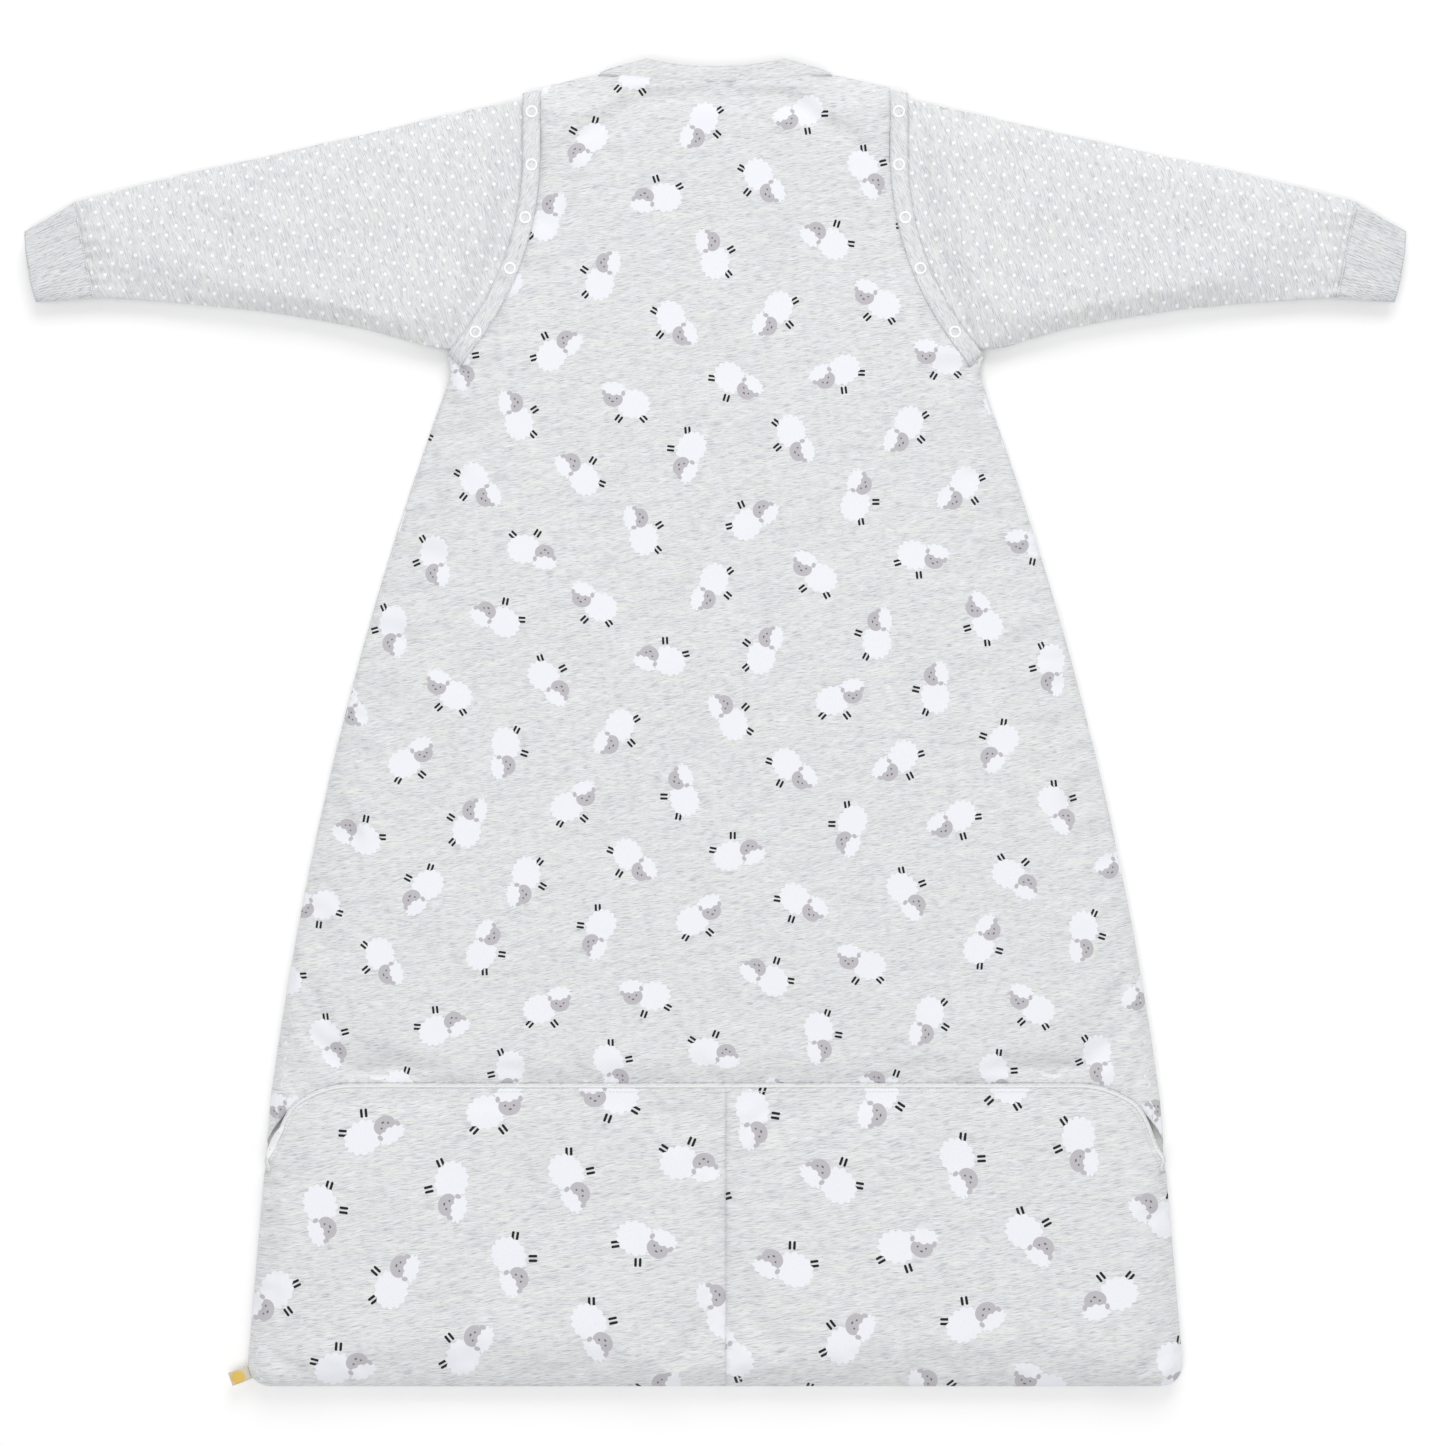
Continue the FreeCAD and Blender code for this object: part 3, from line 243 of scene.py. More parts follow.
def knit(shader, cloth):
    """The height of jersey's stitches: columns across the rows, with a slight unevenness."""
    parts = shader.node("SeparateXYZ", {0: cloth}).outputs
    column = shader.math("SINE", shader.math("MULTIPLY", parts[0], 2 * math.pi / 0.0011))
    row = shader.math("SINE", shader.math("MULTIPLY", parts[1], 2 * math.pi / 0.0014))
    uneven = shader.noise(cloth, (900.0, 900.0, 1.0), 2.0)
    stitch = shader.math("MULTIPLY", column, row)
    return shader.math("MULTIPLY_ADD", uneven, 1.5, stitch)


def nearest_cell(shader, cloth, pitch, row_height, randomness):
    """Millimetres from the middle of the nearest cell of a staggered grid, and the cell's colour."""
    millimetres = shader.vector("MULTIPLY", cloth, (1000.0, 1000.0, 0.0))
    parts = shader.node("SeparateXYZ", {0: millimetres}).outputs
    row = shader.math("MULTIPLY", parts[1], 1 / row_height)
    along = shader.math("MULTIPLY_ADD", parts[0], 1 / pitch, shader.math("MULTIPLY", row, -0.5))
    lattice = shader.node("CombineXYZ", {0: along, 1: row}).outputs[0]
    inputs = {"Vector": lattice, "Scale": 1.0, "Randomness": randomness}
    cells = shader.node("TexVoronoi", inputs, voronoi_dimensions="2D", feature="F1")
    offset = shader.vector("SUBTRACT", lattice, cells.outputs["Position"])
    steps = shader.node("SeparateXYZ", {0: offset}).outputs
    x = shader.math("MULTIPLY_ADD", steps[1], 0.5 * pitch, shader.math("MULTIPLY", steps[0], pitch))
    y = shader.math("MULTIPLY", steps[1], row_height)
    return shader.node("CombineXYZ", {0: x, 1: y}).outputs[0], cells.outputs["Color"]


# The print's sheep, in millimetres from the middle of each.
SHEEP_PITCH = 84.0
SHEEP_ROW = 51.0
SHEEP_SCALE = 0.90
LEG_SIZE = (6.6, 2.0)
LEGS_APART = 3.4
HEAD_TURN = -0.12
FLEECE = (0.83, 0.84, 0.885)
FACE = (0.50, 0.485, 0.515)
INK = (0.012, 0.012, 0.014)


def sheep_place(shader, cloth):
    """Millimetres from the middle of the nearest sheep, in its own turned frame."""
    local, colour = nearest_cell(shader, cloth, SHEEP_PITCH, SHEEP_ROW, 0.13)
    chance = shader.node("SeparateColor", {0: colour}).outputs
    turned = shader.turned(local, shader.math("MULTIPLY", chance[0], 4 * math.pi))
    side = shader.math("MULTIPLY_ADD", shader.math("GREATER_THAN", chance[1], 0.5), 2.0, -1.0)
    flipped = shader.node("SeparateXYZ", {0: turned}).outputs
    across = shader.math("MULTIPLY", flipped[0], side)
    place = shader.node("CombineXYZ", {0: across, 1: flipped[1]}).outputs[0]
    return shader.vector("MULTIPLY", place, (1 / SHEEP_SCALE, 1 / SHEEP_SCALE, 0.0))


def sheep(shader, cloth, ground):
    """A print of small sheep: a round fleece, a grey head with a tuft, and two pairs of legs."""
    place = sheep_place(shader, cloth)
    fleece = blob(shader, place, (-7.0, 0.0), (12.9, 10.9), 14, 0.17)
    tuft = blob(shader, place, (11.6, 10.4), (8.6, 4.6), 10, 0.30)
    head = blob(shader, place, (11.0, 1.6), (8.4, 7.0))
    ears = blob(shader, mirrored(shader, place, (11.4, 6.6), HEAD_TURN, 16.8), (0.0, 0.0), (1.7, 2.3))
    eyes = blob(shader, mirrored(shader, place, (11.0, 1.9), HEAD_TURN, 6.4), (0.0, 0.0), (0.75, 0.75))
    nose = blob(shader, place, (11.1, -0.8), (1.2, 0.7))
    near_legs = mirrored(shader, place, (-17.6, -11.2), math.radians(-52), LEGS_APART)
    far_legs = mirrored(shader, place, (3.4, -14.6), math.radians(28), LEGS_APART)
    legs = union(shader, stroke(shader, near_legs, *LEG_SIZE), stroke(shader, far_legs, *LEG_SIZE))
    colour = shader.mix(legs, ground, INK)
    colour = shader.mix(union(shader, fleece, tuft), colour, FLEECE)
    face = union(shader, shader.math("SUBTRACT", head, tuft, clamp=True), ears)
    colour = shader.mix(face, colour, FACE)
    colour = shader.mix(shader.math("MULTIPLY", union(shader, eyes, nose), 0.7), colour, INK)
    return colour


DOT_PITCH = 11.5
DOT_WIDTH = 2.9


def dots(shader, cloth, ground):
    """Raised white dots in staggered rows, as a colour and a mask."""
    place, _ = nearest_cell(shader, cloth, DOT_PITCH, DOT_PITCH * math.sqrt(3) / 2, 0.10)
    radius = shader.vector("LENGTH", place, output=1)
    mask = inside(shader, shader.math("SUBTRACT", radius, DOT_WIDTH / 2), 0.5)
    return shader.mix(mask, ground, (0.90, 0.91, 0.92)), mask


def knitted(name):
    """A soft shader for knitted cotton."""
    return Shader(name, 0.92, Sheen_Weight=0.12, Sheen_Roughness=0.6, Specular_IOR_Level=0.2)


def jersey(name, pattern=None):
    """Melange jersey, plain or with one of the prints."""
    shader = knitted(name)
    cloth = cloth_place(shader)
    colour = melange(shader, cloth)
    height = knit(shader, cloth)
    if pattern == "sheep":
        colour = sheep(shader, cloth, colour)
    if pattern == "dots":
        colour, mask = dots(shader, cloth, colour)
        height = shader.math("MULTIPLY_ADD", mask, 2.0, height)
    return shader.finish(colour, height, 0.00012, 0.6)


def rib_knit(name):
    """The cuffs: the same yarn knitted in narrow ribs that run along the sleeve, with painted shade:
    darker stripes along the ribs and a darker tone overall.
    """
    shader = knitted(name)
    cloth = cloth_place(shader)
    colour = melange(shader, cloth, 1.3)
    parts = shader.node("SeparateXYZ", {0: cloth}).outputs
    rib = shader.math("SINE", shader.math("MULTIPLY", parts[1], 2 * math.pi / 0.0021))
    # Painted shade: darker stripes along the ribs and a darker tone over the whole cuff, standing in for
    # the shade in the ribbed knit.
    shade = shader.math("MULTIPLY_ADD", rib, 0.12, 0.14, clamp=True)
    colour = shader.mix(shade, colour, (0.55, 0.58, 0.60))
    return shader.finish(colour, rib, 0.0003, 0.6)


def lining_cloth(name):
    """Plain off-white jersey for the inside."""
    shader = Shader(name, 0.9, Sheen_Weight=0.1, Specular_IOR_Level=0.2)
    cloth = cloth_place(shader)
    tone = shader.noise(cloth, (120.0, 500.0, 1.0), 3.0)
    colour = shader.ramp(tone, (0.35, (0.76, 0.76, 0.74)), (0.65, (0.84, 0.84, 0.82)))
    return shader.finish(colour, knit(shader, cloth), 0.00012, 0.6)


def wadding_fibre(name):
    """Loose polyester fibres."""
    shader = Shader(name, 1.0, Sheen_Weight=0.2, Specular_IOR_Level=0.1)
    cloth = cloth_place(shader)
    fibres = shader.noise(cloth, (700.0, 700.0, 700.0), 6.0)
    colour = shader.ramp(fibres, (0.3, (0.78, 0.79, 0.80)), (0.7, (0.93, 0.93, 0.93)))
    return shader.finish(colour, fibres, 0.0008, 0.8)


def woven_tape(name, low, high, pitch=0.0008):
    """Narrow woven tape: a fine twill."""
    shader = Shader(name, 0.7, Specular_IOR_Level=0.3)
    place = shader.node("TexCoord").outputs["Object"]
    parts = shader.node("SeparateXYZ", {0: place}).outputs
    diagonal = shader.math("ADD", parts[0], parts[1])
    twill = shader.math("SINE", shader.math("MULTIPLY", diagonal, 2 * math.pi / pitch))
    tone = shader.noise(place, (400.0, 400.0, 400.0), 2.0)
    share = shader.math("MULTIPLY_ADD", twill, 0.2, tone, clamp=True)
    colour = shader.ramp(share, (0.25, low), (0.75, high))
    return shader.finish(colour, twill, 0.0001, 0.5)


def ribbon_cloth(name):
    """Beige ribbon with a soft yellow printed spot near its end."""
    shader = Shader(name, 0.75, Specular_IOR_Level=0.3)
    place = shader.node("TexCoord").outputs["Generated"]
    parts = shader.node("SeparateXYZ", {0: place}).outputs
    threads = shader.math("SINE", shader.math("MULTIPLY", parts[0], 60.0))
    shade = shader.math("MULTIPLY_ADD", threads, 0.12, 0.12)
    ground = shader.mix(shade, (0.64, 0.59, 0.47), (0.50, 0.45, 0.34))
    offset = shader.vector("SUBTRACT", place, (0.42, 0.42, 0.5))
    scaled = shader.vector("MULTIPLY", offset, (3.2, 2.8, 0.0))
    radius = shader.vector("LENGTH", scaled, output=1)
    spot = shader.math("MULTIPLY_ADD", radius, -4.0, 4.2, clamp=True)
    colour = shader.mix(spot, ground, (0.72, 0.48, 0.12))
    return shader.finish(colour, threads, 0.0002, 0.4)


def plastic(name, low, high, roughness, **settings):
    """Moulded or enamelled parts, faintly uneven."""
    shader = Shader(name, roughness, **settings)
    place = shader.node("TexCoord").outputs["Object"]
    tone = shader.noise(place, (900.0, 900.0, 900.0), 3.0)
    colour = shader.ramp(tone, (0.3, low), (0.7, high))
    return shader.finish(colour, tone, 0.00004, 0.5)


MATERIALS = {
    "printed_jersey": jersey("printed_jersey", "sheep"),
    "dotted_jersey": jersey("dotted_jersey", "dots"),
    "plain_jersey": jersey("plain_jersey"),
    "cuff_rib": rib_knit("cuff_rib"),
    "lining_jersey": lining_cloth("lining_jersey"),
    "wadding": wadding_fibre("wadding"),
    "zip_tape": woven_tape("zip_tape", (0.82, 0.83, 0.84), (0.90, 0.90, 0.91)),
    "thread": woven_tape("thread", (0.80, 0.81, 0.81), (0.88, 0.88, 0.88), 0.0005),
    "zip_coil": plastic("zip_coil", (0.80, 0.81, 0.82), (0.90, 0.90, 0.90), 0.35),
    "zip_metal": plastic("zip_metal", (0.55, 0.56, 0.58), (0.68, 0.69, 0.70), 0.32, Metallic=0.85),
    "stud_enamel": plastic("stud_enamel", (0.86, 0.87, 0.88), (0.94, 0.94, 0.94), 0.28, Coat_Weight=0.3),
    "stud_metal": plastic("stud_metal", (0.56, 0.57, 0.58), (0.72, 0.72, 0.73), 0.3, Metallic=0.9),
    "ribbon": ribbon_cloth("ribbon"),
}


# ---------------------------------------------------------------- outlines in the plane


def face_edges(node, up=1):
    """The border of a CAD node's flat upper (or lower) face, as pairs of points."""
    mesh = NODES[node].data
    level = max(vertex.co.z * up for vertex in mesh.vertices)
    uses = {}
    for polygon in mesh.polygons:
        corners = [mesh.vertices[i].co for i in polygon.vertices]
        if min(corner.z * up for corner in corners) < level - 1e-5:
            continue
        points = [(round(corner.x, 6), round(corner.y, 6)) for corner in corners]
        for pair in zip(points, points[1:] + points[:1]):
            key = tuple(sorted(pair))
            uses[key] = uses.get(key, 0) + 1
    return [edge for edge, count in uses.items() if count == 1 and edge[0] != edge[1]]


def outlines(edges):
    """The closed outlines that the edges make, the longest first, each anticlockwise."""
    links = {}
    for a, b in edges:
        links.setdefault(a, []).append(b)
        links.setdefault(b, []).append(a)
    found, left = [], set(links)
    while left:
        path = [min(left)]
        left.discard(path[0])
        while True:
            ahead = [point for point in links[path[-1]] if point in left]
            if not ahead:
                break
            path.append(ahead[0])
            left.discard(ahead[0])
        found.append(np.array(path))
    found = [path if area(path) > 0 else path[::-1] for path in found if len(path) > 2]
    return sorted(found, key=lambda path: -abs(area(path)))


def area(path):
    """The area inside a closed outline, positive where it runs anticlockwise."""
    x, y = path[:, 0], path[:, 1]
    return float((x * np.roll(y, -1) - y * np.roll(x, -1)).sum() / 2)


def even(outline, step):
    """The same outline with even spacing between its corners."""
    before = outline - np.roll(outline, 1, axis=0)
    after = np.roll(outline, -1, axis=0) - outline
    turn = np.arctan2(
        before[:, 0] * after[:, 1] - before[:, 1] * after[:, 0], (before * after).sum(1)
    )
    corners = [i for i in range(len(outline)) if abs(turn[i]) > math.radians(25)] or [0]
    pieces = []
    for first, last in zip(corners, corners[1:] + [corners[0] + len(outline)]):
        run = outline[np.arange(first, last + 1) % len(outline)]
        pieces.append(spaced(run, step)[:-1])
    return np.concatenate(pieces)


def spaced(path, step):
    """Evenly spaced points along an open path, its two ends among them."""
    lengths = np.linalg.norm(np.diff(path, axis=0), axis=1)
    run = np.concatenate([[0.0], np.cumsum(lengths)])
    places = np.linspace(0, run[-1], max(1, round(run[-1] / step)) + 1)
    return np.stack([np.interp(places, run, path[:, k]) for k in range(path.shape[1])], axis=1)


def distance(points, edges):
    """How far each point is from the nearest of some edges."""
    points, edges = points[:, :2], np.array(edges, float)
    start, along = edges[:, 0], edges[:, 1] - edges[:, 0]
    length = np.maximum((along * along).sum(1), 1e-12)
    result = []
    for part in np.array_split(points, max(1, len(points) // 2000)):
        offset = part[:, None] - start[None]
        t = np.clip((offset * along).sum(-1) / length, 0, 1)
        result.append(np.linalg.norm(offset - t[..., None] * along, axis=-1).min(1))
    return np.concatenate(result)


def within(points, outline):
    """Whether each point is inside an outline."""
    x, y = points[:, 0], points[:, 1]
    hits = np.zeros(len(points), bool)
    for a, b in zip(outline, np.roll(outline, -1, axis=0)):
        if a[1] == b[1]:
            continue
        crosses = (a[1] > y) != (b[1] > y)
        hits ^= crosses & (x < a[0] + (b[0] - a[0]) * (y - a[1]) / (b[1] - a[1]))
    return hits


def pairs(path, closed=True):
    """The edges between neighbouring points of a path."""
    ends = np.roll(path, -1, axis=0)
    joined = np.stack([path, ends], axis=1)
    return joined if closed else joined[:-1]


def stretches(outline, edges, reach):
    """The runs of an outline's points that lie within reach of some edges."""
    near = distance(outline, edges) < reach
    start = int(np.argmin(near))
    runs, current = [], []
    for point, close in zip(np.roll(outline, -start, axis=0), np.roll(near, -start)):
        if close:
            current.append(point)
        elif current:
            runs.append(np.array(current))
            current = []
    if current:
        runs.append(np.array(current))
    return [run for run in runs if len(run) > 3]


def unit(vectors):
    """The same vectors with a length of 1."""
    return vectors / np.maximum(np.linalg.norm(vectors, axis=-1, keepdims=True), 1e-12)


def leftward(path):
    """Unit vectors to the left of a path in the plane, one at each of its points."""
    along = unit(np.gradient(path, axis=0))
    return np.stack([-along[:, 1], along[:, 0]], axis=1)


def beside(path, offset):
    """An open path moved sideways, to its left where offset is positive."""
    return path + offset * leftward(path)


def at_level(points, height):
    """Points of the plane at one height, or at a height each."""
    return np.column_stack([points, np.broadcast_to(height, len(points))])


def fill(outline, step):
    """Points and triangles that fill an outline."""
    low, high = outline.min(0), outline.max(0)
    grid = []
    for row, y in enumerate(np.arange(low[1], high[1], step * math.sqrt(3) / 2)):
        for x in np.arange(low[0] + (row % 2) * step / 2, high[0], step):
            grid.append((x, y))
    grid = np.array(grid)
    grid = grid[within(grid, outline)]
    grid = grid[distance(grid, pairs(outline)) > 0.55 * step]
    points = [Vector(p) for p in np.concatenate([outline, grid])]
    border = list(range(len(outline)))
    result = delaunay_2d_cdt(points, [], [border], 1, 1e-7)
    places = np.array([tuple(p) for p in result[0]])
    triangles = np.array(result[2])
    a, b, c = (places[triangles[:, k]] for k in range(3))
    turn = (b - a)[:, 0] * (c - a)[:, 1] - (b - a)[:, 1] * (c - a)[:, 0]
    triangles[turn < 0] = triangles[turn < 0][:, ::-1]
    return places, triangles


def border_of(triangles):
    """The directed border edges of a set of triangles."""
    directed = np.concatenate([triangles[:, [0, 1]], triangles[:, [1, 2]], triangles[:, [2, 0]]])
    known = {(a, b) for a, b in directed.tolist()}
    return np.array([(a, b) for a, b in directed.tolist() if (b, a) not in known])


# ---------------------------------------------------------------- the padded form

ZIP_CORNER = 0.075
ZIP_STRAIGHT = 0.299
ZIP_HALF = 0.0048
GUARD_OVERLAP = 0.0044
GUARD_THICKNESS = 0.0014
GUARD_TAPER = 0.028
GUARD_RAMP = 0.020
GUARD_WIDTH = 0.012
SLIDER_ROOM = 0.0004
GUARD_LOW = max(SLIDER_TOP + SLIDER_ROOM, TOP)
GUARD_TOP = GUARD_LOW + GUARD_THICKNESS
CENTRE_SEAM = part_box("foot_shell_left")[1].x
CENTRE_SEAM_DIP = 0.05
CENTRE_SEAM_REACH = 0.010
SEAM_NODES = (
    "side_seam_left", "side_seam_right", "shoulder_seam_left", "shoulder_seam_right", "hem_fold"
)
FOOT_NODES = ("foot_shell_left", "foot_shell_right", "foot_flap_left", "foot_flap_right")


def edges_of(nodes, up=1):
    """The borders of several nodes' flat faces together."""
    return np.array([edge for node in nodes for edge in face_edges(node, up)])


def contour():
    """The edges of the back that are sewn to the front: sides, shoulders and the hem's fold."""
    strips = edges_of(SEAM_NODES)
    shells = edges_of(("back_shell", *FOOT_NODES))
    return shells[distance(shells.mean(1), strips) < 0.0004]


def zip_path(offset=0.0, step=0.004):
    """The foot zip's line from left to right, moved out from the flap by an offset."""
    angles = np.linspace(0, math.pi / 2, 40)
    radius = ZIP_CORNER + offset
    x = ZIP_STRAIGHT + radius * np.cos(angles)
    y = ZIP_LINE - ZIP_CORNER + radius * np.sin(angles)
    right = np.stack([x, y], axis=1)
    return spaced(np.concatenate([right * (-1, 1), right[::-1]]), step)


CONTOUR = contour()
ARMHOLES = {1: edges_of(("armhole_binding_left", "armhole_binding_right"), 1)}
ARMHOLES[-1] = edges_of(("armhole_binding_left", "armhole_binding_right"), -1)
NECK = {1: edges_of(("neck_binding_back",), 1)}
NECK[-1] = edges_of(("neck_binding_front_left", "neck_binding_front_right"), -1)


def profile(gap, reach):
    """A quarter of a circle: 0 at an edge and 1 from reach on."""
    t = np.clip(gap / reach, 0, 1)
    return np.sqrt(np.maximum(1 - (1 - t) ** 2, 0))


def smooth(value):
    """A soft step from 0 to 1."""
    t = np.clip(value, 0, 1)
    return t * t * (3 - 2 * t)


def rise(points, up=1):
    """How far the padding stands off the middle level: 1 in the open, less towards each edge."""
    result = profile(distance(points, CONTOUR), SEAM_REACH)
    limits = [(ARMHOLES[up], BINDING_DROP, BINDING_REACH), (NECK[up], COLLAR_DROP, BINDING_REACH)]
    for edges, drop, reach in limits:
        result = np.minimum(result, drop + (1 - drop) * profile(distance(points, edges), reach))
    return np.maximum(result, 0.05)


def at_height(points, level, up=1):
    """Points of the plane lifted to a CAD level, as the padding's rise there shares it out."""
    return at_level(points, MIDDLE + (level - MIDDLE) * rise(points, up))


def drift(points, size, seed):
    """Smooth noise from -1 to 1 over the plane, with bumps of about that size."""
    return np.array([noise.noise((x / size, y / size, seed)) for x, y in points[:, :2]])


def crease(points, start, end, width):
    """1 along a line between two points, fading out across it and towards its ends."""
    start, end = np.array(start), np.array(end)
    along = end - start
    length = np.linalg.norm(along)
    along /= length
    offset = points[:, :2] - start
    t = offset @ along / length
    across = offset @ np.array([-along[1], along[0]])
    across = across - 0.012 * length * np.sin(t * 9)
    return np.exp(-((across / width) ** 2)) * smooth(4 * t) * smooth(4 * (1 - t))


# The shell's slack, in metres: height, size and seed of its waves, and height, reach of its
# puckers at each kind of seam, and height, ends and width of its creases.
WAVES = ((0.0020, 0.110, 3.1), (0.0009, 0.036, 8.4))
PUCKERS = ((CONTOUR, 0.0011, 0.018), (ARMHOLES[1], 0.0007, 0.012))
PUCKER_SIZE = 0.011
CREASES = [
    (-0.0016, (0.012, 0.523), (0.068, 0.476), 0.0022),
    (0.0012, (0.016, 0.529), (0.074, 0.482), 0.0050),
]
CREASES += [(-0.0013, (x, 0.352), (x * 1.05, 0.292), 0.0030) for x in (-0.163, -0.178, 0.168)]


def relief(points):
    """Slack in the shell: broad waves, puckers along the seams and a few sharp creases."""
    result = sum(height * drift(points, size, seed) for height, size, seed in WAVES)
    ripple = drift(points, PUCKER_SIZE, 1.7)
    for edges, height, reach in PUCKERS:
        result += height * ripple * np.exp(-((distance(points, edges) / reach) ** 2))
    for height, start, end, width in CREASES:
        result += height * crease(points, start, end, width)
    return result


class Slab:
    """A padded panel: points and triangles in the plane with a lower and an upper face."""

    def __init__(self, outline, step=FABRIC_STEP):
        self.plane, self.triangles = fill(even(outline, step * 0.6), step)
        self.border = border_of(self.triangles)
        self.low = self.high = None
        self.cover = None

    def set_levels(self, low, high, up=1):
        """Puts the two faces at CAD levels, lower towards the edges of the bag."""
        self.low = at_height(self.plane, low, up)
        self.high = at_height(self.plane, high, up)
        return self

    def inward_steps(self):
        """For each point of the border, the step in the plane to the points just inside it."""
        inner = np.ones(len(self.plane), bool)
        inner[np.unique(self.border)] = False
        total, count = np.zeros((len(self.plane), 3)), np.zeros(len(self.plane))
        for triangle in self.triangles[inner[self.triangles].any(1)]:
            outer = triangle[~inner[triangle]]
            total[outer] += self.low[triangle[inner[triangle]]].mean(0)
            count[outer] += 1
        steps = total / np.maximum(count, 1)[:, None] - self.low
        return steps * (count > 0)[:, None] * (1, 1, 0)

    def between(self, floor, roof, inset=0.0, turned=False):
        """Vertices and faces of the closed layer between two shares of the thickness.

        The layer can stop short of the border, or turn down over it to the lower face. The
        guard over the zip is shell alone, so the layers inside it are left out there."""
        within_shell = roof < 1
        floor = np.full(len(self.plane), floor)
        roof = np.full(len(self.plane), roof)
        if self.cover is not None:
            floor *= 1 - self.cover
            roof *= 1 - self.cover * within_shell
        if turned:
            floor[np.unique(self.border)] = 0.0
        depth = self.high - self.low
        low = self.low + depth * floor[:, None]
        high = self.high - depth * (1 - roof)[:, None]
        if inset:
            steps = inset * self.inward_steps()
            low, high = low + steps, high + steps
        triangles, border = self.triangles, self.border
        if self.cover is not None and within_shell:
            triangles = triangles[self.cover[triangles].min(1) < 0.9]
            border = border_of(triangles)
        return closed(low, high, triangles, border)


def closed(low, high, triangles, border):
    """Vertices and faces of the closed form between two faces with the same triangles."""
    count = len(low)
    faces = (triangles + count).tolist() + triangles[:, ::-1].tolist()
    faces += [[a, b, b + count, a + count] for a, b in border.tolist()]
    return np.concatenate([low, high]), faces


def inflate(vertices, faces, pinned, swell, pressure, cap):
    """Blows up a closed mesh as cloth and returns its new points, none moved by more than cap."""
    mesh = bpy.data.meshes.new("form")
    mesh.from_pydata(vertices.tolist(), [], faces)
    form = bpy.data.objects.new("form", mesh)
    bpy.context.scene.collection.objects.link(form)
    pins = form.vertex_groups.new(name="pins")
    pins.add([int(i) for i in pinned], 1.0, "REPLACE")
    settings = form.modifiers.new("Cloth", "CLOTH").settings
    settings.quality = 4
    settings.mass = 0.15
    settings.tension_stiffness = 12
    settings.compression_stiffness = 12
    settings.shear_stiffness = 4
    settings.bending_stiffness = 0.15
    settings.use_pressure = True
    settings.uniform_pressure_force = pressure
    settings.shrink_min = -swell
    settings.vertex_group_mass = "pins"
    settings.effector_weights.gravity = 0
    for number in range(1, 21):
        bpy.context.scene.frame_set(number)
    result = form.evaluated_get(bpy.context.evaluated_depsgraph_get()).data
    moved = np.zeros(len(vertices) * 3, np.float32)
    result.vertices.foreach_get("co", moved)
    bpy.context.scene.frame_set(1)
    bpy.data.objects.remove(form)
    bpy.data.meshes.remove(mesh)
    change = moved.reshape(-1, 3).astype(float) - vertices
    length = np.linalg.norm(change, axis=1, keepdims=True)
    return vertices + change * np.minimum(1, cap / np.maximum(length, 1e-9))


def puff(slab, swell=0.02, pressure=4.0, cap=0.005):
    """Lets the wadding push a slab's faces out between its pinned borders."""
    count = len(slab.plane)
    vertices, faces = closed(slab.low, slab.high, slab.triangles, slab.border)
    pinned = np.unique(slab.border)
    moved = inflate(vertices, faces, np.concatenate([pinned, pinned + count]), swell, pressure, cap)
    if slab.cover is not None:
        moved = vertices + (moved - vertices) * (1 - np.tile(slab.cover, 2))[:, None]
    slab.low, slab.high = moved[:count], moved[count:]
    return slab


# ---------------------------------------------------------------- pieces


def turned_place(points, angle, shift, scale):
    """Coordinates on the flat cloth, its rows at an angle to the x axis and its print at a scale."""
    cos, sin = math.cos(angle) / scale, math.sin(angle) / scale
    x = points[:, 0] * cos + points[:, 1] * sin + shift[0]
    y = -points[:, 0] * sin + points[:, 1] * cos + shift[1]
    return np.column_stack([x, y, points[:, 2]])


def keep_corners(mesh):
    """Creases the edges where a piece's faces turn sharply, so that subdividing doesn't round them."""
    work = bmesh.new()
    work.from_mesh(mesh)
    crease = work.edges.layers.float.new("crease_edge")
    for edge in work.edges:
        if edge.calc_face_angle(0) > math.radians(50):
            edge[crease] = 1.0
    work.to_mesh(mesh)
    work.free()


def piece(
    name, parts, slot, material=None, subdivide=0, shape=None, angle=STREAK_ANGLE, shift=(0, 0), scale=1.0
):
    """One object from several vertex and face lists, smooth, finished with a material."""
    vertices, faces, count = [], [], 0
    for points, polygons in parts:
        vertices.append(points)
        faces += [[i + count for i in polygon] for polygon in polygons]
        count += len(points)
    mesh = bpy.data.meshes.new(name)
    mesh.from_pydata(np.concatenate(vertices).tolist(), [], faces)
    made = bpy.data.objects.new(name, mesh)
    bpy.context.scene.collection.objects.link(made)
    if subdivide:
        keep_corners(mesh)
        made.modifiers.new("Subdivision", "SUBSURF").levels = subdivide
        made.modifiers["Subdivision"].render_levels = subdivide
        evaluated = made.evaluated_get(bpy.context.evaluated_depsgraph_get())
        finer = bpy.data.meshes.new_from_object(evaluated)
        made.modifiers.clear()
        made.data = finer
        mesh = finer
    points = np.zeros(len(mesh.vertices) * 3, np.float32)
    mesh.vertices.foreach_get("co", points)
    points = points.reshape(-1, 3).astype(float)
    if shape:
        points = shape(points)
    points[:, 2] = np.maximum(points[:, 2], 0.0)
    mesh.vertices.foreach_set("co", points.astype(np.float32).ravel())
    place = turned_place(points, angle, shift, scale).astype(np.float32)
    mesh.attributes.new("cloth", "FLOAT_VECTOR", "POINT").data.foreach_set("vector", place.ravel())
    mesh.polygons.foreach_set("use_smooth", [True] * len(mesh.polygons))
    mesh.materials.clear()
    mesh.materials.append(MATERIALS[material or slot])
    mesh.update()
    return made


def lifted(points):
    """The shell's slack, less of it near the middle level so that no layer folds through another."""
    share = np.clip((points[:, 2] - MIDDLE) / (TOP - MIDDLE), 0, 1)
    moved = points.copy()
    moved[:, 2] += relief(points) * share
    return moved


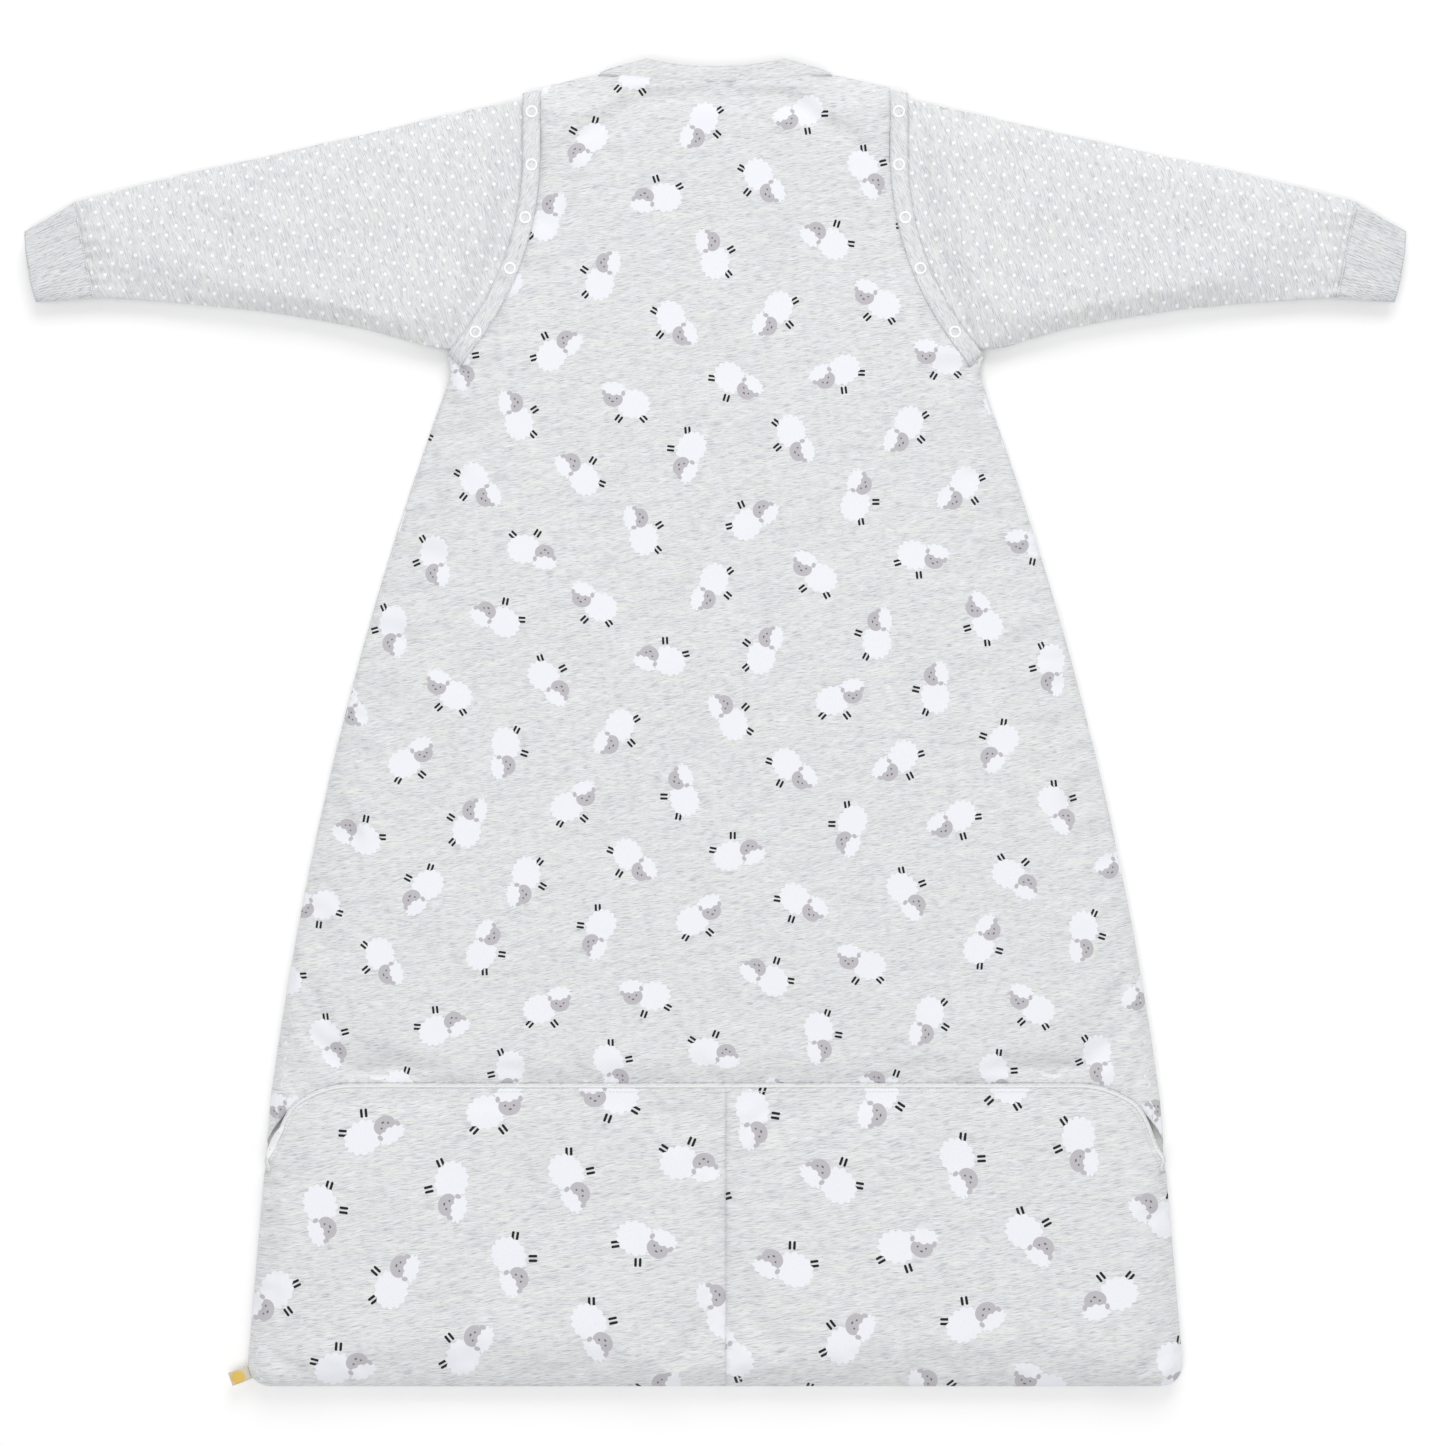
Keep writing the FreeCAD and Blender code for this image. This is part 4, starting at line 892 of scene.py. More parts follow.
SHELL_SHARE = (SHELL_LOW - LINING_LOW) / (TOP - LINING_LOW)
LINING_SHARE = (LINING_HIGH - LINING_LOW) / (TOP - LINING_LOW)
WADDING_SHARE = SHELL_SHARE - 0.05
INSET = 0.5
LINING_INSET = 0.15
SEAM_INSET = 0.02


def zip_gap(points):
    """How far points are from the foot zip's line."""
    return distance(points, pairs(zip_path(), closed=False))


def make_back():
    """The back: printed shell, wadding and lining, puffed together and lower beside the zip."""
    outline = outlines(face_edges("back_shell"))[0]
    slab = Slab(outline).set_levels(LINING_LOW, TOP)
    dip = ZIP_DROP + (1 - ZIP_DROP) * profile(zip_gap(slab.plane) - ZIP_HALF, ZIP_REACH)
    for face in (slab.low, slab.high):
        face[:, 2] = MIDDLE + (face[:, 2] - MIDDLE) * dip
    puff(slab)
    outer = slab.between(SHELL_SHARE, 1.0, turned=True)
    shell = piece("back_panel", [outer], "printed_jersey", subdivide=1, shape=lifted, scale=BACK_PRINT)
    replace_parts(shell, "back_shell")
    middle = slab.between(LINING_SHARE, WADDING_SHARE, INSET)
    wadding = piece("back_padding", [middle], "wadding", shape=lifted)
    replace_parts(wadding, "back_wadding")
    inner = slab.between(0.0, LINING_SHARE, LINING_INSET)
    lining = piece("back_inside", [inner], "lining_jersey", shape=lifted)
    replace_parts(lining, "back_lining")
    for made in (shell, wadding, lining):
        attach(made, "bag")


def foot_outline():
    """The whole foot panel as one outline: fixed part and flap joined at the fold."""
    fold = FOOT_HINGE + 0.0002
    kept = []
    for a, b in edges_of(FOOT_NODES).tolist():
        on_fold = abs(a[1] - fold) < 0.0004 and abs(b[1] - fold) < 0.0004
        on_middle = abs(a[0] - CENTRE_SEAM) < 1e-5 and abs(b[0] - CENTRE_SEAM) < 1e-5
        if not on_fold and not on_middle:
            kept.append((tuple(a), tuple(b)))
    ends = [point for edge in kept for point in edge]
    for sign in SIDES.values():
        loose = sorted({point for point in ends if ends.count(point) == 1 and point[0] * sign > 0})
        kept.append((loose[0], loose[1]))
    return outlines(kept)[0]


def with_guard(outline):
    """The outline with its zip edge moved out over the zip, less towards the sides."""
    outline = even(outline, 0.004)
    gap = zip_gap(outline)
    edge = (gap < ZIP_HALF + 0.0006) & (outline[:, 1] > FOOT_HINGE + 0.001)
    across = outline[:, 0] - np.clip(outline[:, 0], -ZIP_STRAIGHT, ZIP_STRAIGHT)
    outward = unit(np.column_stack([across, outline[:, 1] - (ZIP_LINE - ZIP_CORNER)]))
    reach = (ZIP_HALF + GUARD_OVERLAP) * smooth(distance(outline, CONTOUR) / GUARD_TAPER)
    return outline + outward * (reach * edge)[:, None]


def clipped(outline, x, side):
    """The part of an outline on one side of a line of constant x."""
    result = []
    for a, b in zip(outline, np.roll(outline, -1, axis=0)):
        if (a[0] - x) * side >= 0:
            result.append(a)
        if (a[0] - x) * (b[0] - x) < 0:
            result.append(a + (b - a) * (x - a[0]) / (b[0] - a[0]))
    return np.array(result)


def foot_slab(outline, side):
    """One half of the foot panel, thin where it covers the zip and drawn in at the centre seam."""
    slab = Slab(clipped(outline, CENTRE_SEAM, side)).set_levels(LINING_LOW, TOP)
    centre = np.abs(slab.plane[:, 0] - CENTRE_SEAM)
    pull = 1 - CENTRE_SEAM_DIP + CENTRE_SEAM_DIP * profile(centre, CENTRE_SEAM_REACH)
    for face in (slab.low, slab.high):
        face[:, 2] = MIDDLE + (face[:, 2] - MIDDLE) * pull
    upper = np.clip((slab.plane[:, 1] - FOOT_HINGE) / GUARD_RAMP, 0, 1)
    cover = smooth(1.25 - (zip_gap(slab.plane) - ZIP_HALF) / GUARD_WIDTH) * upper
    cover = np.where(within(slab.plane, zip_field()), cover, upper)
    for face, level in ((slab.high, GUARD_TOP), (slab.low, GUARD_LOW)):
        face[:, 2] = face[:, 2] * (1 - cover) + at_height(slab.plane, level)[:, 2] * cover
    slab.cover = cover
    return slab


def zip_field():
    """The area below the zip's line, where the flap is padded."""
    path = zip_path(-ZIP_HALF - 0.004)
    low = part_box("foot_shell_left")[0].y - 0.01
    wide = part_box("side_seam_right")[1].x + 0.01
    below = [(-wide, path[0][1]), (-wide, low), (wide, low), (wide, path[-1][1])]
    return np.concatenate([path[::-1], below])


def make_foot():
    """The foot panel: two printed halves, the wadding and the lining, each one piece across the flap's
    hinge.
    """
    outline = with_guard(foot_outline())
    slabs = {side: puff(foot_slab(outline, sign), cap=0.004) for side, sign in SIDES.items()}
    print_shift = {"left": (0.021, 0.034), "right": (0.058, 0.011)}
    made = []
    for side, slab in slabs.items():
        shell = piece(
            f"foot_panel_{side}", [slab.between(SHELL_SHARE, 1.0, turned=True)], "printed_jersey",
            subdivide=1, shape=lifted, shift=print_shift[side], scale=FOOT_PRINT,
        )
        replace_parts(shell, f"foot_shell_{side}", f"foot_flap_{side}")
        made.append(shell)
    wadding = [slab.between(LINING_SHARE, WADDING_SHARE, INSET) for slab in slabs.values()]
    wadding = piece("foot_padding", wadding, "wadding", shape=lifted)
    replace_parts(wadding, "foot_wadding", "foot_flap_wadding")
    lining = [slab.between(0.0, LINING_SHARE, SEAM_INSET) for slab in slabs.values()]
    lining = piece("foot_inside", lining, "lining_jersey", shape=lifted)
    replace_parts(lining, "foot_lining", "foot_flap_lining")
    for part in (*made, wadding, lining):
        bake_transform(part)


def make_front():
    """The front halves that the bag lies on."""
    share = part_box("front_wadding_left")[0].z / FRONT_LINING_HIGH
    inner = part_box("front_wadding_left")[1].z / FRONT_LINING_HIGH
    print_shift = {"left": (0.011, 0.027), "right": (0.047, 0.043)}
    for side in SIDES:
        outline = outlines(face_edges(f"front_shell_{side}", -1))[0]
        slab = Slab(outline).set_levels(0.0, FRONT_LINING_HIGH, -1)
        outer = slab.between(0.0, share)
        shell = piece(f"front_panel_{side}", [outer], "printed_jersey", shift=print_shift[side])
        wadding = piece(f"front_padding_{side}", [slab.between(share, inner, INSET)], "wadding")
        lining = piece(f"front_inside_{side}", [slab.between(inner, 1.0, LINING_INSET)], "lining_jersey")
        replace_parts(shell, f"front_shell_{side}")
        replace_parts(wadding, f"front_wadding_{side}")
        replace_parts(lining, f"front_lining_{side}")
        for made in (shell, wadding, lining):
            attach(made, "bag")


def band_rise(points):
    """How far a binding stands off the middle level, less towards the edge of the bag."""
    return np.maximum(profile(distance(points, CONTOUR), 0.018), 0.08)


def crowned(outline, low, high, edge_drop, step=0.0028):
    """A narrow band whose outer face is rounded towards its borders."""
    slab = Slab(outline, step)
    height = band_rise(slab.plane)
    crown = profile(distance(slab.plane, pairs(outline)), 0.004)
    ripple = 0.00035 * drift(slab.plane, 0.009, 5.2)
    sign = 1 if high > MIDDLE else -1
    outer, inner = (high, low) if sign > 0 else (low, high)
    outer = outer - sign * edge_drop * (1 - crown) + ripple * sign * crown
    levels = {sign: outer, -sign: inner}
    slab.low = at_level(slab.plane, MIDDLE + (levels[-1] - MIDDLE) * height)
    slab.high = at_level(slab.plane, MIDDLE + (levels[1] - MIDDLE) * height)
    return slab.between(0.0, 1.0)


def make_band(name, node, bands, angle=STREAK_ANGLE, shape=None):
    """A padded band of plain jersey in the place of a CAD binding."""
    made = piece(name, bands, "plain_jersey", angle=angle, shape=shape)
    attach(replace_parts(made, node), "bag")


def make_bindings():
    """Bands of plain jersey round the armholes and the neck."""
    for side, sign in SIDES.items():
        node = f"armhole_binding_{side}"
        back = crowned(outlines(face_edges(node, 1))[0], BINDING_LOW, BINDING_TOP, 0.0006)
        front = outlines(face_edges(node, -1))[0]
        front = crowned(front, FRONT_BINDING_LOW, FRONT_LINING_HIGH, 0.0006)
        make_band(f"armhole_band_{side}", node, [back, front], BAND_ANGLE * sign)
        node = f"neck_binding_front_{side}"
        low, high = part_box(node)[0].z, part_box(node)[1].z
        band = crowned(outlines(face_edges(node, -1))[0], low, high, 0.0008)
        make_band(f"neck_band_front_{side}", node, [band])
    collar = even(outlines(face_edges("neck_binding_back"))[0], 0.0017)
    joined = distance(collar, edges_of(("back_shell",))) < 0.0006
    collar[joined, 1] -= COLLAR_OVERLAP
    band = crowned(collar, BINDING_LOW, COLLAR_HEIGHT, 0.0002)
    make_band("neck_band_back", "neck_binding_back", [band], shape=lifted)


def ring_faces(rings, spokes, start=0, flip=False):
    """The quads between neighbouring rings of points."""
    faces = []
    for near in range(start, start + (rings - 1) * spokes, spokes):
        far = near + spokes
        for j in range(spokes):
            k = (j + 1) % spokes
            face = [near + j, far + j, far + k, near + k]
            faces.append(face[::-1] if flip else face)
    return faces


def cross_axes(along):
    """Two unit vectors square to each direction, the first of them level."""
    level = unit(np.stack([-along[:, 1], along[:, 0], np.zeros(len(along))], axis=1))
    return level, np.cross(along, level)


def tube(path, radius, sides=8):
    """A round tube along a path of points in space, with closed ends."""
    path = np.array(path, float)
    level, third = cross_axes(unit(np.gradient(path, axis=0)))
    angles = np.arange(sides) * 2 * math.pi / sides
    rings = [path + radius * (math.cos(a) * level + math.sin(a) * third) for a in angles]
    last = (len(path) - 1) * sides
    faces = ring_faces(len(path), sides, flip=True)
    faces += [list(range(sides))[::-1], list(range(last, last + sides))]
    return np.stack(rings, axis=1).reshape(-1, 3), faces


def capsules(places, directions, length, width, height=None):
    """Small rounded bars at places in space: stitches and zip teeth."""
    sides, rings = 6, ((-0.5, 0.35), (-0.36, 1.0), (0.36, 1.0), (0.5, 0.35))
    places, along = np.array(places, float), unit(np.array(directions, float))
    level, third = cross_axes(along)
    points = []
    for t, share in rings:
        for angle in np.arange(sides) * 2 * math.pi / sides:
            across = share * width / 2 * math.cos(angle)
            up = share * (height or width) / 2 * math.sin(angle)
            points.append(places + along * t * length + level * across + third * up)
    stride = len(rings) * sides
    single = [list(range(sides))[::-1], list(range(stride - sides, stride))]
    single += ring_faces(len(rings), sides, flip=True)
    faces = [[v + n * stride for v in face] for n in range(len(places)) for face in single]
    return np.stack(points, axis=1).reshape(-1, 3), faces


STITCH_PITCH = 0.0031
STITCH_LENGTH = 0.0024
STITCH_WIDTH = 0.0006
STITCH_ROWS = (0.0012, 0.0042)
SEAM_ROLL = 0.0014


def stitches(path):
    """A row of stitches along a path in space."""
    path = spaced(np.array(path), STITCH_PITCH)
    steps = np.diff(path, axis=0)
    return capsules(path[:-1] + steps / 2, steps, STITCH_LENGTH, STITCH_WIDTH)


def on_band(path, level):
    """A path in the plane lifted onto a binding's face."""
    return at_level(path, MIDDLE + (level - MIDDLE) * band_rise(path))


def make_armhole_stitches():
    """Two rows of stitches on each armhole band, beside the body."""
    for side in SIDES:
        rows = []
        faces = ((1, "back_shell", BINDING_TOP), (-1, f"front_shell_{side}", FRONT_BINDING_LOW))
        for up, shell, level in faces:
            outline = even(outlines(face_edges(shell, up))[0], 0.002)
            band = edges_of((f"armhole_binding_{side}",), up)
            for run in stretches(outline, band, 0.0006):
                for offset in STITCH_ROWS:
                    path = beside(run, -offset)[3:-3]
                    if len(path) > 3:
                        rows.append(stitches(on_band(path, level + up * 0.0001)))
        made = piece(f"armhole_stitches_{side}", rows, "plain_jersey", "thread")
        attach(made, "bag")


def slot_of(node):
    """The material slot that the record gives a CAD node."""
    return node.data.materials[0].name.split(".")[0]


def make_seams():
    """Rolled seam allowances at the sides, shoulders and the fold of the hem."""
    for node in SEAM_NODES:
        outline = even(outlines(face_edges(node))[0], 0.003)
        parts = []
        for run in stretches(outline, CONTOUR, 0.0003):
            path = beside(run, 0.0016)[2:-2]
            if len(path) > 4:
                parts.append(tube(at_level(path, MIDDLE + 0.0003 * drift(path, 0.012, 2.2)), SEAM_ROLL))
        made = piece(node + "_roll", parts, slot_of(NODES[node]))
        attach(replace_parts(made, node), "bag")


TOOTH_PITCH = 0.0022
TOOTH_SIZE = (0.0030, 0.0012, 0.0020)
TOOTH_ROOT = 0.0019
TAPE_NEAR = 0.0030
TAPE_FAR = 0.0140
TAPE_THICKNESS = 0.0006
PIPING = 0.0010
FLAP_ROLL = 0.0020
TAB_ENDS = (0.012, 0.040)
TAB_HALF = 0.0032


def teeth(places, side):
    """One row of moulded zip teeth at places in space, reaching across the zip's line."""
    across = at_level(leftward(places[:, :2]), 0.0) * side
    return capsules(places, across, *TOOTH_SIZE)


def tape(path, side, level):
    """A flat tape beside a path, as a closed mesh at a level."""
    lines = [beside(path, side * offset) for offset in (TAPE_NEAR, TAPE_FAR)]
    low, high = level - TAPE_THICKNESS / 2, level + TAPE_THICKNESS / 2
    order = ((lines[0], low), (lines[0], high), (lines[1], high), (lines[1], low))
    vertices = np.concatenate([at_height(line, z) for line, z in order])
    count = len(path)
    faces = [[j * count for j in range(4)], [j * count + count - 1 for j in range(4)][::-1]]
    for i in range(count - 1):
        for j in range(4):
            k = (j + 1) % 4
            faces.append([j * count + i, j * count + i + 1, k * count + i + 1, k * count + i])
    return vertices, faces


def middle_level(node):
    """The height of the middle of a CAD node."""
    low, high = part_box(node)
    return (low.z + high.z) / 2


def make_foot_zip():
    """Tapes and rows of teeth of the foot zip, one of each on the bag and one on the flap."""
    line = zip_path(step=0.003)
    far = beside(line, TAPE_FAR)
    upper = line[(np.abs(far[:, 0]) < ZIP_STRAIGHT + 0.058) & (distance(far, CONTOUR) > 0.002)]
    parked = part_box("foot_zip_pull")[1].x + 0.002
    lower = line[(line[:, 1] > FOOT_HINGE + 0.002) & (line[:, 0] > parked)]
    halves = (("upper", upper, 1, "bag"), ("lower", lower, -1, "foot_flap"))
    for name, path, side, body in halves:
        node = f"foot_zip_teeth_{name}"
        places = spaced(beside(path, side * TOOTH_ROOT), TOOTH_PITCH)
        rows = teeth(at_height(places, middle_level(node)), side)
        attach(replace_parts(piece(f"foot_teeth_{name}", [rows], "zip_coil"), node), body)
    for name, path, side, body in halves:
        node = f"foot_zip_tape_{name}"
        strip = tape(path, side, middle_level(node))
        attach(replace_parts(piece(f"foot_tape_{name}", [strip], "zip_tape"), node), body)


def make_flap_edge():
    """The flap's edge over the zip: a rolled hem with white piping and a row of stitches."""
    line = zip_path(step=0.003)
    line = line[line[:, 1] > FOOT_HINGE + 0.002]
    covered = smooth(distance(line, CONTOUR) / GUARD_TAPER)
    edge = line + leftward(line) * (GUARD_OVERLAP * covered - ZIP_HALF * (1 - covered))[:, None]
    roll = tube(at_height(beside(edge, 0.0006), GUARD_TOP - FLAP_ROLL), FLAP_ROLL)
    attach(piece("foot_flap_roll", [roll], "plain_jersey", shape=lifted), "foot_flap")
    piping = tube(at_height(edge, GUARD_TOP), PIPING)
    seam = stitches(at_height(beside(edge, -0.0040), GUARD_TOP + 0.0002))
    made = piece("foot_flap_edge", [piping, seam], "zip_tape", "thread", shape=lifted)
    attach(made, "foot_flap")


def make_zip_end():
    """The white fabric tab that covers the foot zip's left end, with two small bars of the zip's metal
    across it.
    """
    path = beside(zip_path(step=0.001), -0.0012)
    low, high = (FOOT_HINGE + end for end in TAB_ENDS)
    path = path[(path[:, 0] < 0) & (path[:, 1] > low) & (path[:, 1] < high)]
    half = TAB_HALF * np.sqrt(np.sin(np.linspace(0.12, math.pi - 0.12, len(path))))
    across = leftward(path)
    side = across * half[:, None]
    outline = np.concatenate([path - side, (path + side)[::-1]])
    slab = Slab(outline if area(outline) > 0 else outline[::-1], 0.0012)
    slab.low = at_height(slab.plane, GUARD_TOP + 0.0002)
    slab.high = at_height(slab.plane, GUARD_TOP + 0.0010)
    slab.high[:, 2] += 0.0009 * profile(distance(slab.plane, pairs(outline)), 0.0028)
    tab = piece("foot_zip_end", [slab.between(0.0, 1.0)], "zip_tape", shape=lifted)
    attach(tab, "foot_flap")
    sewn = [len(path) // 4, 3 * (len(path) // 4)]
    places = at_height(path[sewn], GUARD_TOP + 0.0021)
    bars = capsules(places, at_level(across[sewn], 0.0), 0.003, 0.0007)
    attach(piece("foot_zip_end_bars", [bars], "zip_metal", shape=lifted), "foot_flap")


def make_front_zip():
    """Rows of teeth of the front zip, and the soft strip behind it."""
    for side in SIDES:
        node = f"front_zip_teeth_{side}"
        low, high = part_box(node)
        x = (low.x + high.x) / 2
        places = spaced(np.array([(x, low.y), (x, high.y)]), TOOTH_PITCH)
        rows = teeth(at_level(places, middle_level(node)), 1)
        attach(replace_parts(piece(f"front_teeth_{side}", [rows], "zip_coil"), node), "bag")
    low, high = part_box("front_zip_underlap")
    outline = np.array([(low.x, low.y), (high.x, low.y), (high.x, high.y), (low.x, high.y)])
    slab = Slab(outline, 0.004)
    slab.low = at_level(slab.plane, low.z + 0.0001)
    slab.high = at_level(slab.plane, high.z + 0.0004 * drift(slab.plane, 0.03, 4.4))
    made = piece("front_zip_backing", [slab.between(0.0, 1.0)], "lining_jersey")
    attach(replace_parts(made, "front_zip_underlap"), "bag")


# ---------------------------------------------------------------- sleeves and cuffs


def side_curve(loop, start, end):
    """The stretch of a closed loop from one of its points to another."""
    count = len(loop)
    last = end if end >= start else end + count
    return loop[np.arange(start, last + 1) % count]


def patch(lower, upper, near, far, along, across):
    """A point of the surface that four curves bound, for places from 0 to 1 both ways."""

    def at(curve, t):
        places = np.linspace(0, 1, len(curve))
        return np.stack([np.interp(t, places, curve[:, k]) for k in (0, 1)], axis=-1)

    u, v = along[..., None], across[..., None]
    straight = (1 - v) * at(lower, along) + v * at(upper, along)
    straight += (1 - u) * at(near, across) + u * at(far, across)
    corners = (1 - u) * (1 - v) * lower[0] + u * (1 - v) * lower[-1]
    corners = corners + (1 - u) * v * upper[0] + u * v * upper[-1]
    return straight - corners


def four_curves(outline, step=0.004):
    """A sleeve's or cuff's outline, to the right, split at its four corners."""
    loop = even(outline, step)
    x, y = loop[:, 0], loop[:, 1]
    far_low, far_high = int(np.argmax(x - y)), int(np.argmax(x + 0.3 * y))
    near_high, near_low = int(np.argmin(x - 0.35 * y)), int(np.argmin(x * 0.25 + y))
    lower = spaced(side_curve(loop, near_low, far_low), step)
    far = spaced(side_curve(loop, far_low, far_high), step)
    upper = spaced(side_curve(loop, far_high, near_high), step)[::-1]
    near = spaced(side_curve(loop, near_high, near_low), step)[::-1]
    return lower, upper, near, far


SLEEVE_RINGS = 120
SLEEVE_SPOKES = 112
SLEEVE_FABRIC = 0.0008
SLEEVE_LINING = (0.0011, 0.0017)
SLEEVE_LINING_WIDTH = 0.975
PINNED_RINGS = 9
CUFF_RINGS = 26
RIB_SPOKES = 480
CUFF_FABRIC = 0.0024
CUFF_ANGLE = math.radians(-24)
CUFF_SEAM = 0.0007
GATHER_HEIGHT = 0.0036
GATHER_SHARE = 0.09
FOLD_HEIGHT = 0.0018
UPPER_ARM_FULLNESS = 0.0050


def flat_tube(curves, rings, spokes, half_height, flatness):
    """Rings of points round a flattened tube, from its outline, at a half height along it.

    It also returns each point's place along the tube, from 0 to 1, and its turn round it."""
    angle = np.arange(spokes) * 2 * math.pi / spokes
    along, turn = np.meshgrid(np.linspace(0, 1, rings), angle, indexing="ij")
    across = 0.5 - 0.5 * np.cos(turn)
    plane = patch(*curves, along, across)
    power = flatness(along)
    bulge = np.power(np.maximum(1 - np.abs(np.cos(turn)) ** power, 0), 0.5)
    height = half_height(along) * bulge * np.sign(np.sin(turn))
    return np.concatenate([plane, (MIDDLE + height)[..., None]], axis=-1), along, turn


def wall(outer, inner, sign):
    """A closed tube wall between two grids of rings, on the right or, mirrored, on the left."""
    rings, spokes = outer.shape[:2]
    count = rings * spokes
    faces = ring_faces(rings, spokes) + ring_faces(rings, spokes, count, True)
    for i, flip in ((0, False), (rings - 1, True)):
        for j in range(spokes):
            k = (j + 1) % spokes
            face = [i * spokes + j, i * spokes + k, count + i * spokes + k, count + i * spokes + j]
            faces.append(face[::-1] if flip else face)
    if sign < 0:
        faces = [face[::-1] for face in faces]
    return np.concatenate([outer.reshape(-1, 3), inner.reshape(-1, 3)]), faces


def inward(grid, amount):
    """A grid of rings moved in from its surface."""
    along = np.gradient(grid, axis=0)
    around = np.roll(grid, -1, axis=1) - np.roll(grid, 1, axis=1)
    normal = unit(np.cross(along, around))
    centre = grid.mean(axis=1, keepdims=True)
    facing = np.sign((normal * (grid - centre)).sum())
    return grid - normal * facing * amount


def blown(grid, seed):
    """A sleeve's tube after cloth simulation, its first and last rings held."""
    rings, spokes = grid.shape[:2]
    flat = grid.reshape(-1, 3).copy()
    flat[:, 2] += 0.0006 * drift(flat, 0.02, seed) * np.sign(flat[:, 2] - MIDDLE)
    faces = ring_faces(rings, spokes)
    faces += [list(range(spokes)), [(rings - 1) * spokes + j for j in range(spokes)][::-1]]
    last = np.arange((rings - 1) * spokes, rings * spokes)
    pinned = np.concatenate([np.arange(spokes * PINNED_RINGS), last])
    moved = inflate(flat, faces, pinned, swell=0.018, pressure=3.0, cap=0.009) - flat
    moved[:, :2] *= 0.35
    return (flat + moved).reshape(grid.shape)


def sleeve_wrinkles(grid, along, seed):
    """Gathers beside the cuff and soft folds near the armpit, as moves up and down."""
    flat = grid.reshape(-1, 3).copy()
    near_cuff = np.exp(-(((1 - along) / GATHER_SHARE) ** 2)).ravel()
    upper = np.sign(flat[:, 2] - MIDDLE)
    across = np.array([noise.noise((p[0] / 0.06, p[1] / 0.0075, seed)) for p in flat])
    broad = np.array([noise.noise((p[0] / 0.05 - p[1] / 0.09, p[1] / 0.05, seed + 4)) for p in flat])
    inner = smooth((along - 0.10) / 0.15).ravel()
    move = GATHER_HEIGHT * across * near_cuff + FOLD_HEIGHT * broad * inner * (1 - near_cuff)
    thickness = np.clip(np.abs(flat[:, 2] - MIDDLE) / 0.003, 0, 1)
    flat[:, 2] += move * upper * thickness
    return flat.reshape(grid.shape)


def sleeve_half_height(along):
    """Flat inside the armhole, fuller in the upper arm, and slim again at the cuff."""
    flat = (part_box("sleeve_back_left")[1].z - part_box("sleeve_front_left")[0].z) / 2
    full = UPPER_ARM_FULLNESS * smooth((along - 0.16) / 0.25) * (1 - smooth((along - 0.45) / 0.5))
    return flat + full - 0.0004 * smooth((along - 0.9) / 0.1)


def sleeve_flatness(along):
    """Flat between two folded edges inside the armhole, and rounder further on."""
    return 12 - 8.5 * smooth((along - 0.12) / 0.3)


def make_sleeves():
    """Each sleeve: a dotted shell and a lining, both soft tubes, open at both ends."""
    curves = four_curves(outlines(face_edges("sleeve_back_right", 1))[0])
    for side, sign in SIDES.items():
        grid, along, _ = flat_tube(
            curves, SLEEVE_RINGS, SLEEVE_SPOKES, sleeve_half_height, sleeve_flatness
        )
        grid = sleeve_wrinkles(blown(grid, 3.0 + sign), along, 6.0 + 2 * sign)
        grid[..., 0] *= sign
        shell = wall(grid, inward(grid, SLEEVE_FABRIC), sign)
        middle = grid.mean(axis=1, keepdims=True)
        narrow = middle + (grid - middle) * (SLEEVE_LINING_WIDTH, SLEEVE_LINING_WIDTH, 1)
        lining = wall(*(inward(narrow, depth)[3:-1] for depth in SLEEVE_LINING), sign)
        made = piece(f"sleeve_{side}", [shell], "dotted_jersey", angle=SLEEVE_STREAK_ANGLE)
        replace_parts(made, f"sleeve_back_{side}", f"sleeve_front_{side}", f"sleeve_seam_{side}")
        inner = piece(f"sleeve_inside_{side}", [lining], "lining_jersey", angle=SLEEVE_STREAK_ANGLE)
        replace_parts(inner, f"sleeve_lining_{side}")
        for layer in (made, inner):
            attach(layer, f"{side}_sleeve")
        make_cuff(side, sign)
        make_sleeve_seam(side, grid)


def cuff_half_height(along):
    """Half of the CAD cuff's height, a little more at the cuff's middle."""
    low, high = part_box("cuff_right")
    return (high.z - low.z) / 2 * (1 + 0.10 * np.sin(along * math.pi))


def cuff_flatness(along):
    """The same rounded edges all along the cuff."""
    return np.full_like(along, 4.0)


def cuff_relief(along, turn):
    """The cuff's surface: fine ribs, two folds along it, gathers at the sleeve and slow waves."""
    folds = np.exp(-(((turn - 1.15 - 0.25 * along) / 0.09) ** 2)) + np.exp(-(((turn - 2.3) / 0.12) ** 2))
    gathers = np.sin(turn * 14 + 2 * np.sin(turn * 3)) * np.exp(-((along / 0.3) ** 2))
    ribs, waves = np.sin(turn * 68), np.sin(turn * 5 + along * 3)
    return 0.00022 * ribs - 0.0011 * folds + 0.0006 * gathers + 0.0004 * waves


def make_cuff(side, sign):
    """A knitted cuff, its ribs running along the sleeve."""
    curves = four_curves(outlines(face_edges("cuff_right", 1))[0], 0.002)
    grid, along, turn = flat_tube(curves, CUFF_RINGS, RIB_SPOKES, cuff_half_height, cuff_flatness)
    outer = inward(grid, (0.0003 - cuff_relief(along, turn))[..., None])
    inner = inward(grid, CUFF_FABRIC)
    outer[..., 0] *= sign
    inner[..., 0] *= sign
    knit_tube = wall(outer, inner, sign)
    made = piece(f"cuff_knit_{side}", [knit_tube], "cuff_rib", angle=CUFF_ANGLE * sign)
    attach(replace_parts(made, f"cuff_{side}"), f"{side}_sleeve")


